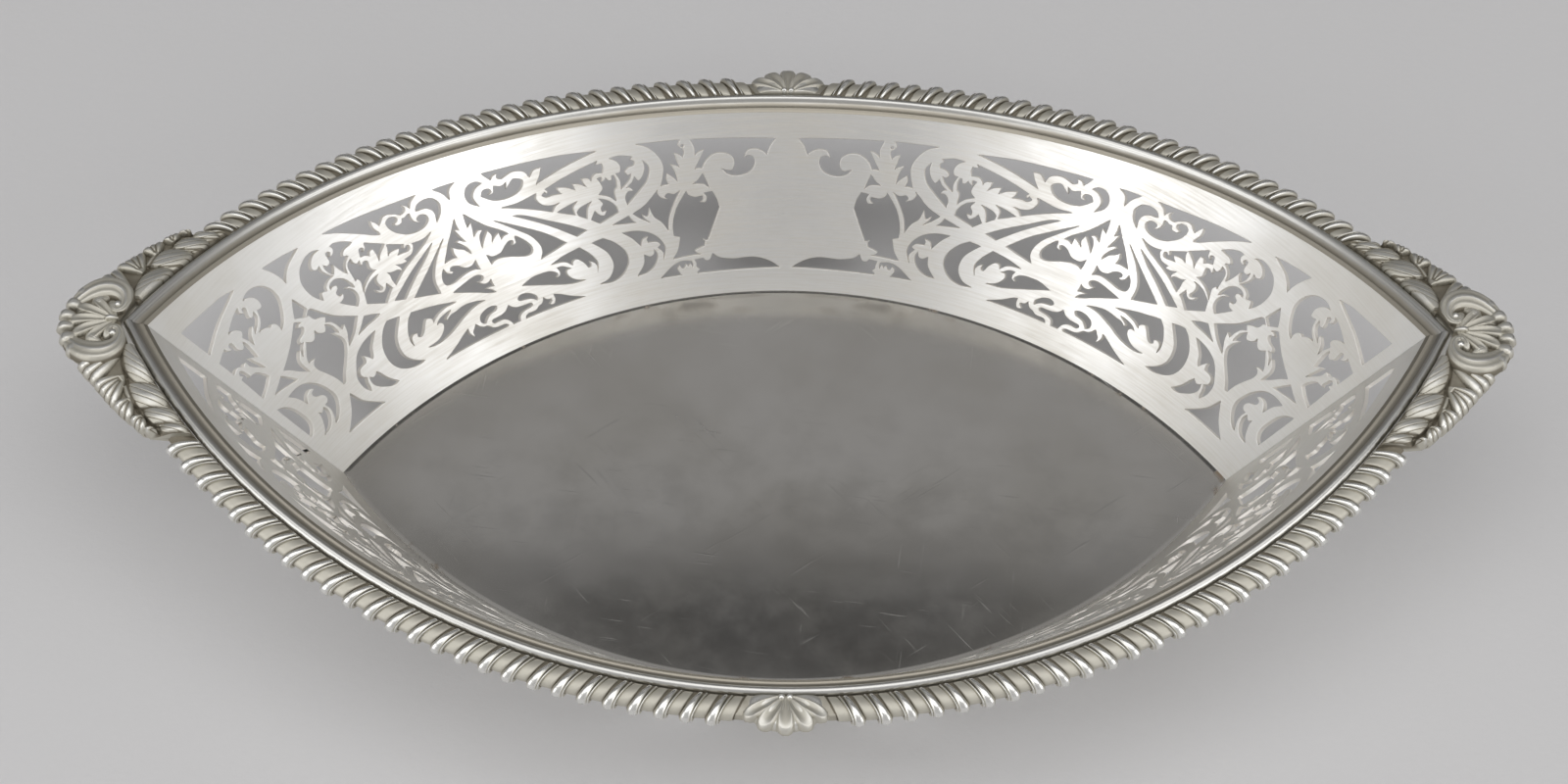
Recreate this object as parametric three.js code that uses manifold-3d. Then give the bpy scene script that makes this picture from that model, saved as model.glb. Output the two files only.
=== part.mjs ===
// Pierced silver basket: a pointed oval dish whose two sloping side panels are saw-pierced with
// scrolls and flowers, with a half-round rim wire and a cast border of gadroons, shells and leaves.
// Millimetres, +Z up, +X along the basket. The origin lies under the middle of the flat underside.

import * as THREE from "three";
import { mergeVertices } from "three/addons/utils/BufferGeometryUtils.js";
import Module from "manifold-3d";

const wasm = await Module();
wasm.setup();

// Plan and heights of the body
const rimHalfLength = 160;
const rimHalfWidth = 95.4;
const rimFullness = 1.12;
const rimHeightMiddle = 43.4;
const rimHeightTip = 59.7;
const rimRisePower = 1.9;
const floorHalfLength = 112.8;
const floorHalfWidth = 63.3;
const floorFullness = 0.86;
const floorThickness = 1.2;
const panelThickness = 1.2;

// Fits between touching pieces
const seatGap = 0.3;
const endGap = 0.3;

// Rim: how far the panel's top edge lies inside and below the rim wire's outer edge
const coveWidth = 5;
const coveDrop = 1.6;
const flangeReach = 3;
const flangeDrop = 1.5;
const flangeThickness = 0.9;
const flangeRoot = 0.6;
const wireWidth = 4.3;
const wireCrown = 0.7;
const wireShoulder = 1.2;
const wireInnerDrop = 0.3;
const wireOuterDrop = 0.1;

// Cast border outside the rim wire
const borderWidth = 7.3;
const borderCrown = 0.9;
const borderHang = 3.1;
const gadroonPitch = 5.9;
const gadroonLean = 0.42;
const gadroonDepth = 0.9;
const shellHalfWidth = 7.4;
const shellReach = 10.2;
const shellRise = 1.5;
const shellHang = 2.6;
const leafLength = 27.5;
const leafReach = 13;
const leafLobes = 6;
const leafRise = 1.7;
const palmetteReach = 16.3;
const palmetteRibs = 7;
const scrollHalfWidth = 10.7;

// Number of straight steps that stand for each curve: along the body, between two drawn points of
// an opening, and in the tables of lengths. The others are a small step along a curve and the
// distance within which two points are one.
const bodySteps = 16;
const openingSteps = 1;
const arcSteps = 600;
const alongStep = 0.002;
const weldDistance = 1e-4;

const silver = { color: 0xc9c8c2, roughness: 0.28, metalness: 1 };
const patinatedSilver = { color: 0xb9b5a8, roughness: 0.42, metalness: 1 };
const mirrorSilver = { color: 0xb4b4b2, roughness: 0.16, metalness: 1 };

// One bow from tip to tip: a circular arc, made fuller or leaner against a parabola of the same
// length and width. t runs from -1 to 1, and the point at either end lies on the long axis.
function bow(halfLength, halfWidth, fullness, t) {
  const radius = (halfLength ** 2 + halfWidth ** 2) / (2 * halfWidth);
  const halfAngle = Math.asin(halfLength / radius);
  const x = radius * Math.sin(t * halfAngle);
  const arc = radius * Math.cos(t * halfAngle) - (radius - halfWidth);
  const parabola = halfWidth * (1 - (x / halfLength) ** 2);
  return new THREE.Vector2(x, fullness * arc + (1 - fullness) * parabola);
}

// How much farther a mitred tip moves than the sides when a bow is offset outwards
function tipSpread(halfLength, halfWidth) {
  const radius = (halfLength ** 2 + halfWidth ** 2) / (2 * halfWidth);
  return radius / halfLength;
}

const rimSpread = tipSpread(rimHalfLength, rimHalfWidth);
const floorSpread = tipSpread(floorHalfLength, floorHalfWidth);

// A point beside the rim: out is the distance outside the wire's outer edge, up the height over it
function rimPoint(t, out, up) {
  const halfLength = rimHalfLength + rimSpread * out;
  const p = bow(halfLength, rimHalfWidth + out, rimFullness, t);
  const rise = (rimHeightTip - rimHeightMiddle) * Math.abs(p.x / halfLength) ** rimRisePower;
  return new THREE.Vector3(p.x, p.y, rimHeightMiddle + rise + up);
}

function floorPoint(t, out, z) {
  const halfLength = floorHalfLength + floorSpread * out;
  const p = bow(halfLength, floorHalfWidth + out, floorFullness, t);
  return new THREE.Vector3(p.x, p.y, z);
}

// The panel's inner face is ruled from the floor's edge up to the cove under the wire
function panelFoot(t) {
  return floorPoint(t, 0, floorThickness);
}

function panelHead(t) {
  return rimPoint(t, -coveWidth, -coveDrop);
}

// Length along a curve of t, measured from its middle, as a table that both ways are read from
function lengthTable(curve) {
  const lengths = [0];
  let last = curve(-1);
  for (let i = 1; i <= arcSteps; i += 1) {
    const next = curve(-1 + (2 * i) / arcSteps);
    lengths.push(lengths[i - 1] + next.distanceTo(last));
    last = next;
  }
  const half = lengths[arcSteps] / 2;
  return lengths.map((length) => length - half);
}

function tAtLength(table, s) {
  let i = 1;
  while (i < arcSteps && table[i] < s) {
    i += 1;
  }
  const share = (s - table[i - 1]) / (table[i] - table[i - 1]);
  return -1 + (2 * (i - 1 + share)) / arcSteps;
}

const panelTable = lengthTable((t) => panelFoot(t).add(panelHead(t)).multiplyScalar(0.5));
const borderTable = lengthTable((t) => rimPoint(t, borderWidth / 2, 0));

// The fretwork is drawn flat, on a half panel of this length and of this height at its two ends,
// and it stretches with the panel. The panel grows higher towards the tip.
const drawnHalfLength = 161.6;
const drawnHeightMiddle = 48.8;
const drawnHeightGrowth = 21.7;
const drawnGrowthPower = 1.47;

// A point on the panel: s along it at half height, h up its slope from the floor, out through it
function panelPoint(s, h, out) {
  const stretch = panelTable[arcSteps] / drawnHalfLength;
  const t = tAtLength(panelTable, s * stretch);
  const foot = panelFoot(t);
  const slope = panelHead(t).sub(foot);
  const drawnHeight = drawnHeightMiddle + drawnHeightGrowth * Math.abs(t) ** drawnGrowthPower;
  const along = panelFoot(t + alongStep).sub(panelFoot(t - alongStep));
  const normal = slope.clone().cross(along).normalize();
  return foot.addScaledVector(slope, h / drawnHeight).addScaledVector(normal, -out);
}

// The triangles that fill one end ring, wound with the ring or against it
function cap(profile, first, against) {
  const flip = THREE.ShapeUtils.isClockWise(profile) !== against;
  return THREE.ShapeUtils.triangulateShape(profile, [])
    .flatMap(([a, b, c]) => (flip ? [c, b, a] : [a, b, c]))
    .map((corner) => first + corner);
}

// Rings of points joined into one closed body; the end rings are filled from their flat profiles
function loft(rings, startProfile, endProfile) {
  const count = rings[0].length;
  const positions = rings.flat().flatMap((p) => [p.x, p.y, p.z]);
  const index = [];
  for (let i = 0; i < rings.length - 1; i += 1) {
    for (let j = 0; j < count; j += 1) {
      const a = i * count + j;
      const b = i * count + ((j + 1) % count);
      index.push(a, b, a + count, b, b + count, a + count);
    }
  }
  const lastRing = (rings.length - 1) * count;
  index.push(...cap(startProfile, 0, true), ...cap(endProfile, lastRing, false));
  const geometry = new THREE.BufferGeometry();
  geometry.setAttribute("position", new THREE.Float32BufferAttribute(positions, 3));
  geometry.setIndex(index);
  return faceOutwards(geometry);
}

function signedVolume(geometry) {
  const p = geometry.attributes.position;
  const index = geometry.index.array;
  const [a, b, c] = [new THREE.Vector3(), new THREE.Vector3(), new THREE.Vector3()];
  let volume = 0;
  for (let i = 0; i < index.length; i += 3) {
    a.fromBufferAttribute(p, index[i]);
    b.fromBufferAttribute(p, index[i + 1]);
    c.fromBufferAttribute(p, index[i + 2]);
    volume += a.dot(b.cross(c)) / 6;
  }
  return volume;
}

// Turns every triangle round when the body came out inside out, as a mirrored one does
function faceOutwards(geometry) {
  if (signedVolume(geometry) < 0) {
    const index = Array.from(geometry.index.array);
    for (let i = 0; i < index.length; i += 3) {
      [index[i], index[i + 1]] = [index[i + 1], index[i]];
    }
    geometry.setIndex(index);
  }
  return geometry;
}

function solidFrom(geometry) {
  const bare = new THREE.BufferGeometry();
  bare.setAttribute("position", geometry.attributes.position);
  bare.setIndex(geometry.index);
  const merged = mergeVertices(bare, weldDistance);
  return new wasm.Manifold(new wasm.Mesh({
    numProp: 3,
    vertProperties: new Float32Array(merged.attributes.position.array),
    triVerts: new Uint32Array(merged.index.array),
  }));
}

function geometryFrom(solid) {
  const mesh = solid.getMesh();
  const geometry = new THREE.BufferGeometry();
  geometry.setAttribute("position", new THREE.BufferAttribute(mesh.vertProperties, 3));
  geometry.setIndex(new THREE.BufferAttribute(mesh.triVerts, 1));
  return geometry;
}

// A bar of one closed profile [out, up] carried along the rim through the given values of t
function rimBar(profile, steps) {
  const flat = profile.map(([out, up]) => new THREE.Vector2(out, up));
  const rings = steps.map((t) => profile.map(([out, up]) => rimPoint(t, out, up)));
  return loft(rings, flat, flat);
}

function evenSteps(count) {
  return Array.from({ length: count + 1 }, (_, i) => -1 + (2 * i) / count);
}

// Floor: a flat plate whose edge stands under the foot of both panels
const footWidth = panelThickness / Math.sin(Math.atan2(
  rimHeightMiddle - coveDrop - floorThickness,
  rimHalfWidth - coveWidth - floorHalfWidth,
));

function makeFloor() {
  const back = evenSteps(bodySteps).map((t) => floorPoint(t, footWidth, 0));
  const outline = back.map((p) => new THREE.Vector2(p.x, p.y));
  for (const p of back.slice(1, -1).reverse()) {
    outline.push(new THREE.Vector2(p.x, -p.y));
  }
  const shape = new THREE.Shape(outline);
  return new THREE.ExtrudeGeometry(shape, { depth: floorThickness, bevelEnabled: false });
}

// Panel: the sloping sheet, turned over at the top into a level flange that carries the border. The
// flange's underside starts a little way inside the sheet.
function makePanelSheet() {
  const footZ = floorThickness + seatGap;
  const rings = evenSteps(bodySteps).map((t) => [
    floorPoint(t, 0, footZ),
    rimPoint(t, -coveWidth, -coveDrop),
    rimPoint(t, flangeReach, -flangeDrop),
    rimPoint(t, flangeReach, -flangeDrop - flangeThickness),
    rimPoint(t, -coveWidth + footWidth - flangeRoot, -flangeDrop - flangeThickness),
    floorPoint(t, footWidth, footZ),
  ]);
  const flat = rings[bodySteps / 2].map((p) => new THREE.Vector2(p.y, p.z));
  return loft(rings, flat, flat);
}

// Pierced openings of one half panel, from the shield in the middle to the left tip. An opening is
// a closed outline of curved runs: each starts at the corner where the run before it ended, and
// the last one ends at the first corner. Points are [along, up the slope].
const openings = [
  // Either side of the shield
  [[[-23.1, 43.3], [-2.6, 41.8]], [[-10, 38.6]], [[-8, 35.3], [-12.3, 32.2], [-16.4, 34.6]],
    [[-13.1, 36.5], [-17.5, 38.8], [-21.2, 35.1]], []],
  [[[-19.4, 28.6], [-18, 23.9]], [[-26, 11.8]], [[-33.4, 11.3]], [[-31.6, 19], [-26.1, 29.5]], []],
  [[[-36.2, 44.4], [-25.4, 43.6]], [[-27.8, 32.2]], [[-32.4, 31.8]], [[-30.9, 38]]],
  [[[-41.3, 25.8], [-33.3, 31.1]], [[-27.6, 29.9]], [[-32.9, 19.2]], [[-36.8, 24.5]]],
  [[[-45.6, 21.3], [-38.2, 19.7], [-34.8, 14.6], [-36.3, 11.3]], [[-37.3, 16.4]], [[-41.5, 16.4]],
    []],
  [[[-27.2, 10.3], [-9.5, 9.6], [-1.7, 6.6]], [[-27, 6.4]], []],
  // Scrolls and leaves under the rail
  [[[-73.9, 48.5], [-45.6, 44.8]], [[-62.6, 40.6]], [[-66.5, 46]]],
  [[[-73.3, 37.9], [-63.4, 38.3]], [[-61.3, 32]], []],
  [[[-61, 38.6], [-46.2, 42.2]], [[-45.6, 38.7]], [[-57.3, 36]], []],
  // Crescents and flowers along the foot
  [[[-54.6, 20.6], [-49.5, 20.3], [-45.9, 14.6], [-48.6, 10.3], [-56.8, 9.1]], [[-51, 14]]],
  [[[-78.1, 15.7], [-71.4, 16.9], [-64, 16]], [[-60, 11.2]], [[-68, 12.4]]],
  [[[-81.8, 6.8], [-77, 8.2], [-74, 10.3]], [[-70.8, 10.2], [-62.2, 6.8]], []],
  [[[-110.2, 6.8], [-97.5, 11.3]], [[-92.2, 8.3], [-88.1, 6.8]], []],
  [[[-109.9, 23.3], [-97.1, 19.5]], [[-106.4, 17.9]], [[-111.7, 16]], [[-115.3, 14.7]],
    [[-113.7, 19.6]]],
  [[[-112.2, 12.4], [-106.4, 11.9], [-89.7, 16.2]], [[-97, 17.5], [-105.5, 16.5]], []],
  [[[-121.2, 24.8], [-129.7, 22.7], [-134.8, 17.6], [-134.7, 11.8]], [[-133, 18], [-127.5, 18.7]],
    []],
  [[[-149.6, 7.1], [-144.8, 10.3], [-140, 15.5]], [[-138.6, 11.3], [-134, 6.9]], []],
  [[[-153.3, 27.1], [-147.5, 26.6], [-143.3, 19.5], [-150.1, 11.9]], [[-147, 18.6]],
    [[-151.2, 21.5]], []],
  // Palmette in the middle of the half, and the rays beside it
  [[[-82.8, 40.4], [-79.3, 35.2], [-74.6, 30.5]], [[-79.3, 31.5]], [[-82.8, 29.7]], [[-82.4, 34]]],
  [[[-85.4, 40.2], [-93.9, 30.4]], [[-89.5, 31.5]], [[-86.2, 29.5]], [[-86.4, 34.5]]],
  [[[-82.8, 27.6], [-80, 26.3], [-74.6, 28.6]], [[-70.6, 24.5], [-73, 22.9], [-82.8, 24.5]], []],
  [[[-86.1, 27.5], [-88.4, 26.4], [-94.5, 28.6]], [[-97, 25], [-86.2, 24.5]], []],
  [[[-83.1, 20.8], [-80.5, 23.2], [-70.6, 20.3]], [[-82.3, 16.2]], []],
  [[[-85.1, 20.9], [-88, 23.4], [-96.5, 22.2]], [[-85.6, 16.9]], []],
  [[[-76.6, 35.4], [-61.1, 22.7]], [[-69.6, 20.7]], [[-68.5, 26]]],
  [[[-71.5, 34.7], [-54.5, 24.4]], [[-57.7, 23.5]], []],
  [[[-93.6, 37], [-111.4, 28.5]], [[-108.6, 27.2]], []],
  [[[-90.4, 36.8], [-106.4, 26.2]], [[-99.5, 23.6]], [[-97.5, 29.8]]],
  // Under the rail beyond the palmette
  [[[-115.4, 54.7], [-90.6, 50.6]], [[-96.4, 47.8], [-100, 49.6], [-103.7, 45.9]], []],
  [[[-132.4, 57.6], [-122.2, 55.6]], [[-127.4, 53.3], [-130.6, 50.2]], []],
  // Thistle between the rail and the rays
  [[[-98.3, 39.6], [-92.3, 39.8]], [[-108.4, 31.9]], [[-108.3, 36.2]], [[-101, 36.7]]],
  [[[-118, 32.1], [-116.8, 34.7]], [[-111.5, 36.6]], [[-109.6, 31.8]], [[-113.4, 29.1]], []],
  // Two flowers in the ring
  [[[-118.6, 51.7], [-123.9, 51.8], [-128, 46.5], [-126.4, 40]], [[-121, 43.7]], [[-121.4, 47.6]],
    [[-123.1, 49.3]]],
  [[[-119.5, 47], [-115.9, 50.8]], [[-110.7, 48.3]], [[-116.8, 41.9]], [[-119.8, 44]], []],
  [[[-123.2, 41.2], [-120.5, 42.8], [-117.8, 39]], [[-120.4, 33]], [[-123.6, 36.8]], []],
  // Diamond with one flower
  [[[-148.3, 33.3], [-136.6, 40.8]], [[-137, 36.8]], [[-142, 31.8]], [[-143.3, 27.6]], []],
  [[[-138, 34.5], [-141.6, 29.2], [-139.3, 18.7]], [[-129.9, 27.2]], [[-130.8, 34.9]],
    [[-134, 34.2]]],
  [[[-131.4, 40.8], [-127.3, 35.2], [-122.3, 30.9]], [[-130, 25.7]], [[-128.6, 33.8]],
    [[-131.9, 38]]],
  // Loop with three flowers, and the corners beside the tip
  [[[-158, 61.8], [-141.2, 58.7]], [[-157.9, 51.8]], []],
  [[[-158.1, 48.2], [-154.3, 49.7]], [[-149.9, 45.5]], [[-150.9, 37.6]], [[-154, 42.8]],
    [[-158.1, 42.9]], []],
  [[[-150.7, 51.5], [-143.9, 54.6]], [[-142.2, 50.6]], [[-148.3, 44.1]], [[-148, 49.6]]],
  [[[-141.7, 54.9], [-137.8, 55.6], [-134.4, 51], [-140.3, 41.6]], [[-144.9, 45.6]],
    [[-140.9, 50.4]], [[-138.9, 52.2]]],
];

function runPoints(start, run, steps) {
  const corners = [start, ...run].map(([s, h]) => new THREE.Vector3(s, h, 0));
  if (corners.length === 2) {
    return corners;
  }
  const curve = new THREE.CatmullRomCurve3(corners, false, "centripetal");
  return curve.getPoints((corners.length - 1) * steps);
}

function openingOutline(runs, steps) {
  const first = runs[0][0];
  const outline = [];
  let start = first;
  runs.forEach((run, i) => {
    const rest = i === 0 ? run.slice(1) : run;
    const whole = i === runs.length - 1 ? [...rest, first] : rest;
    outline.push(...runPoints(start, whole, steps).slice(0, -1));
    start = whole[whole.length - 1];
  });
  return outline.map((p) => new THREE.Vector2(p.x, p.y));
}

// The body that a saw takes out: the outline pushed straight through the sloping panel
const cutReach = 4;

function openingCutter(runs, hand) {
  const shape = new THREE.Shape(openingOutline(runs, openingSteps));
  const body = new THREE.ExtrudeGeometry(shape, { depth: 1, bevelEnabled: false });
  const position = body.attributes.position;
  for (let i = 0; i < position.count; i += 1) {
    const out = (2 * position.getZ(i) - 1) * cutReach;
    const p = panelPoint(hand * position.getX(i), position.getY(i), out);
    position.setXYZ(i, p.x, p.y, p.z);
  }
  body.deleteAttribute("normal");
  body.deleteAttribute("uv");
  return solidFrom(faceOutwards(mergeVertices(body, weldDistance)));
}

function makePanel() {
  let panel = solidFrom(makePanelSheet());
  for (const hand of [-1, 1]) {
    for (const runs of openings) {
      panel = panel.subtract(openingCutter(runs, -hand));
    }
  }
  return geometryFrom(panel);
}

// Rim wire: rounded on top, flat where it sits on the flange
const wireProfile = [
  [-wireWidth, -flangeDrop + seatGap],
  [-wireWidth, -wireInnerDrop],
  [-wireWidth + wireShoulder, wireCrown - wireOuterDrop],
  [-wireShoulder, wireCrown],
  [0, -wireOuterDrop],
  [0, -flangeDrop + seatGap],
];

// Gadroon run: a rounded bar whose slanting lobes swell and sink. Swell is 1 on a lobe's crest and
// 0 in the groove between two lobes.
const underHollow = 0.14;

function gadroonRing(s, swell) {
  const seat = -flangeDrop + seatGap;
  const sunk = gadroonDepth * (1 - swell);
  const profile = [
    [seatGap, seat],
    [borderWidth / 2, borderCrown - sunk],
    [borderWidth - sunk, -borderCrown / 2 - sunk / 2],
    [borderWidth * (1 - underHollow) - sunk, -borderHang],
    [flangeReach + seatGap, seat],
  ];
  return { s, profile };
}

function strip(rings, hand) {
  const points = rings.map(({ s, profile, lean = gadroonLean }) => profile.map(([out, up]) => {
    const t = tAtLength(borderTable, s + lean * out);
    return rimPoint(hand * t, out, up);
  }));
  const flat = (ring) => ring.profile.map(([out, up]) => new THREE.Vector2(out, up));
  return loft(points, flat(rings[0]), flat(rings[rings.length - 1]));
}

// The leaf sprays stop beside the C-scrolls, this many scroll widths away from the tip. The rim's
// turn from the long axis there says how sharp the tip is.
const leafEndShare = 1.3;

function flatFromTip(step) {
  const p = rimPoint(-1 + (2 * step) / arcSteps, 0, 0);
  return new THREE.Vector2(p.x - rimHalfLength, p.y);
}

function stepFromTip(distance) {
  let step = arcSteps;
  while (flatFromTip(step).length() < distance) {
    step -= 1;
  }
  return step;
}

const leafEndStep = stepFromTip(leafEndShare * scrollHalfWidth);
const leafEnd = borderTable[leafEndStep];
const tipTurn = flatFromTip(leafEndStep).angle();
const leafStart = leafEnd - leafLength;
const gadroonStart = shellHalfWidth + endGap;

// Where along one lobe its broad crest lies, as a share of the pitch
const crestShare = 0.45;

function makeGadroonRun(hand) {
  const length = leafStart - endGap - gadroonStart;
  const lobes = Math.round(length / gadroonPitch);
  const pitch = length / lobes;
  const rings = [];
  for (let i = 0; i < lobes; i += 1) {
    const s = gadroonStart + i * pitch;
    rings.push(gadroonRing(s, 0));
    rings.push(gadroonRing(s + crestShare * pitch, 1));
  }
  rings.push(gadroonRing(gadroonStart + length, 0));
  return geometryFrom(solidFrom(strip(rings, hand)));
}

// Leaf spray: lobes on both sides of a sunk rib, widening towards the basket's tip. The lobes lie at
// these shares of the width, rise to these shares of the full rise, and sink between two lobes.
const leafSpread = 1.3;
const leafNotch = 1.1;
const leafRib = 0.3;
const leafEdgeDrop = 1.3;
const leafLobeSink = 0.55;
const innerLobe = { out: 0.28, up: 0.75 };
const outerLobe = { out: 0.8, up: 0.7 };
const leafRibOut = 0.52;
const leafUnderOut = 0.85;

function leafRing(share) {
  const seat = -flangeDrop + seatGap;
  const wave = Math.sin(share * leafLobes * Math.PI) ** 2;
  const widened = borderWidth + (leafReach - borderWidth) * share ** leafSpread;
  const width = widened - leafNotch * (1 - wave);
  const rise = leafRise * (1 - leafLobeSink * (1 - wave));
  const profile = [
    [seatGap, seat],
    [innerLobe.out * width, innerLobe.up * rise],
    [leafRibOut * width, -leafRib],
    [outerLobe.out * width, outerLobe.up * rise],
    [width, -leafEdgeDrop],
    [leafUnderOut * width, -borderHang + leafRib],
    [flangeReach + seatGap, seat],
  ];
  return { s: leafStart + share * leafLength, profile, lean: gadroonLean * (1 - share) };
}

function makeLeafSpray(hand) {
  const steps = leafLobes * 2;
  const rings = Array.from({ length: steps + 1 }, (_, i) => leafRing(i / steps));
  return strip(rings, hand);
}

// Shell at the middle of a long side: flutes spread from a hinge beside the wire. Towards its sides
// the shell gets shorter, between the flutes its edge is notched, and the edge curls down.
const shellLobes = 7;
const shellFan = 1.45;
const shellTurn = 0.86;
const shellShortening = 0.26;
const shellNotch = 0.8;
const shellHinge = 0.2;
const shellDomeStart = 0.12;
const shellDomeSpan = 0.85;
const shellFlute = 0.45;
const shellCurl = 1.9;
const shellCurlPower = 5;
const shellLevels = [0.12, 0.6, 1];

function shellPoint(angle, share, wave) {
  const full = shellReach * (1 - shellShortening * (1 - Math.cos(angle)));
  const reach = full - shellNotch * (1 - wave) * share;
  const out = seatGap + shellHinge + (reach - seatGap) * share * Math.cos(angle * shellTurn);
  const s = (shellHalfWidth / Math.sin(shellFan)) * share * Math.sin(angle);
  const along = Math.min(share * shellDomeSpan + shellDomeStart, 1);
  const dome = shellRise * Math.sin(Math.PI * along);
  const up = dome * (1 - shellFlute * (1 - wave)) - shellCurl * share ** shellCurlPower;
  return { s, out, up };
}

function makeCentreShell() {
  const steps = shellLobes * 2;
  const rings = Array.from({ length: steps + 1 }, (_, i) => {
    const angle = -shellFan + (2 * shellFan * i) / steps;
    const wave = Math.sin((i / steps) * shellLobes * Math.PI) ** 2;
    const top = shellLevels.map((share) => shellPoint(angle, share, wave));
    const rim = { ...top[2], up: -shellHang };
    const heel = { ...top[0], up: -shellHang };
    return [heel, ...top, rim];
  });
  const points = rings.map((ring) => ring.map((p) => rimPoint(
    tAtLength(borderTable, p.s), p.out, p.up,
  )));
  const flat = (ring) => ring.map((p) => new THREE.Vector2(p.out, p.up));
  const casting = solidFrom(loft(points, flat(rings[0]), flat(rings[steps])));
  return geometryFrom(casting.subtract(seatCutter()));
}

// Clearance body that trims a casting to the wire and flange it is soldered against; it reaches past
// them inwards and upwards, and a little over the long axis into its mirrored twin
const cutterMargin = 3;
const cutterOverlap = 0.01;

function seatCutter() {
  const clear = flangeReach + seatGap;
  const profile = [
    [-coveWidth - cutterMargin, -flangeDrop - flangeThickness - seatGap],
    [clear, -flangeDrop - flangeThickness - seatGap],
    [clear, -flangeDrop + seatGap],
    [seatGap, -flangeDrop + seatGap],
    [seatGap, borderHang + cutterMargin],
    [-coveWidth - cutterMargin, borderHang + cutterMargin],
  ];
  const rings = evenSteps(bodySteps).map((t) => profile.map(([out, up]) => rimPoint(t, out, up)));
  for (const p of [...rings[0], ...rings[bodySteps]]) {
    p.y = -cutterOverlap;
  }
  const flat = profile.map(([out, up]) => new THREE.Vector2(out, up));
  return solidFrom(loft(rings, flat, flat));
}

// End ornament: a fluted palmette between two C-scrolls, over the basket's tip
const palmetteHinge = 1.4;
const palmetteSpread = 1.32;
const palmetteShortening = 3.2;
const palmetteNotch = 0.9;
const palmetteRise = 1.5;
const palmetteFlute = 0.5;
const palmetteCurl = 2.2;
const palmetteCurlPower = 6;
const palmetteLevels = [0.1, 0.6, 1];

function makePalmette() {
  const steps = palmetteRibs * 2;
  const rings = Array.from({ length: steps + 1 }, (_, i) => {
    const angle = -palmetteSpread + (2 * palmetteSpread * i) / steps;
    const wave = Math.sin((i / steps) * palmetteRibs * Math.PI) ** 2;
    const lost = palmetteShortening * (1 - Math.cos(angle)) + palmetteNotch * (1 - wave);
    const reach = palmetteReach - palmetteHinge - lost;
    const top = palmetteLevels.map((share) => {
      const rise = palmetteRise * Math.sin(Math.PI * share) + palmetteFlute * wave;
      const x = rimHalfLength + palmetteHinge + reach * share * Math.cos(angle);
      const y = reach * share * Math.sin(angle);
      const z = rimHeightTip + rise - palmetteCurl * share ** palmetteCurlPower;
      return new THREE.Vector3(x, y, z);
    });
    const rim = top[2].clone().setZ(rimHeightTip - shellHang);
    const heel = top[0].clone().setZ(rimHeightTip - shellHang);
    return [...top, rim, heel];
  });
  const flat = (ring) => ring.map((p) => new THREE.Vector2(
    Math.hypot(p.x - rimHalfLength, p.y), p.z,
  ));
  return solidFrom(loft(rings, flat(rings[0]), flat(rings[steps])));
}

// Centre line of the C-scroll: [beyond the tip, beside the long axis, radius of the bar]. It is
// drawn at this half width beside a tip of this turn, and it follows the real ones.
const drawnScrollHalfWidth = 10.7;
const drawnTipTurn = 2.088;
const scrollLine = [
  [2.9, 5.4, 0.9],
  [1.7, 3.9, 1.2],
  [-0.1, 4.9, 1.6],
  [-0.8, 7.5, 2],
  [1.1, 9.9, 2.4],
  [4.7, 10.7, 2.7],
  [8.6, 9.6, 2.5],
  [11.8, 7.2, 2],
  [13.6, 4.4, 1.2],
];
const scrollSides = 5;
const scrollSteps = 11;
const scrollDrop = 0.4;

function fittedScroll() {
  const scale = scrollHalfWidth / drawnScrollHalfWidth;
  return scrollLine.map(([x, y, r]) => {
    const turn = Math.atan2(y, x) * (tipTurn / drawnTipTurn);
    const reach = Math.hypot(x, y) * scale;
    return new THREE.Vector3(reach * Math.cos(turn), reach * Math.sin(turn), r * scale);
  });
}

function makeScroll(side) {
  const curve = new THREE.CatmullRomCurve3(fittedScroll(), false, "centripetal");
  const rings = [];
  for (let i = 0; i <= scrollSteps; i += 1) {
    const p = curve.getPoint(i / scrollSteps);
    const ahead = curve.getTangent(i / scrollSteps);
    const across = new THREE.Vector2(-ahead.y, ahead.x).normalize();
    rings.push(Array.from({ length: scrollSides }, (_, k) => {
      const turn = (2 * Math.PI * k) / scrollSides;
      const x = p.x + across.x * p.z * Math.cos(turn);
      const y = p.y + across.y * p.z * Math.cos(turn);
      const z = rimHeightTip - scrollDrop + p.z * Math.sin(turn);
      return new THREE.Vector3(rimHalfLength + x, side * y, z);
    }));
  }
  const circle = Array.from({ length: scrollSides }, (_, k) => new THREE.Vector2(
    Math.cos((2 * Math.PI * k) / scrollSides), Math.sin((2 * Math.PI * k) / scrollSides),
  ));
  return solidFrom(loft(rings, circle, circle));
}

// Clearance body round a leaf spray, which trims a scroll that would come too near to it
const leafCutterSteps = 4;

function leafCutter() {
  const profile = [
    [-coveWidth, -borderHang - endGap],
    [leafReach + endGap, -borderHang - endGap],
    [leafReach + endGap, leafRise + endGap],
    [-coveWidth, leafRise + endGap],
  ];
  const length = leafLength / 2 + endGap;
  const rings = Array.from({ length: leafCutterSteps + 1 }, (_, i) => {
    const s = leafEnd - leafLength / 2 + (length * i) / leafCutterSteps;
    return { s, profile, lean: 0 };
  });
  return solidFrom(strip(rings, 1));
}

function mirrorY(solid) {
  return solid.mirror([0, 1, 0]);
}

function makeEndOrnament() {
  const halfCutter = seatCutter().add(leafCutter());
  return makePalmette()
    .add(makeScroll(1))
    .add(makeScroll(-1))
    .subtract(halfCutter.add(mirrorY(halfCutter)));
}

const basket = new THREE.Group();
basket.name = "pierced_silver_basket";

function addPiece(name, geometry, finish, place = (mesh) => mesh) {
  const shown = geometry.index ? geometry.toNonIndexed() : geometry;
  shown.computeVertexNormals();
  const mesh = new THREE.Mesh(shown, new THREE.MeshStandardMaterial(finish));
  mesh.name = name;
  place(mesh);
  basket.add(mesh);
}

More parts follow.
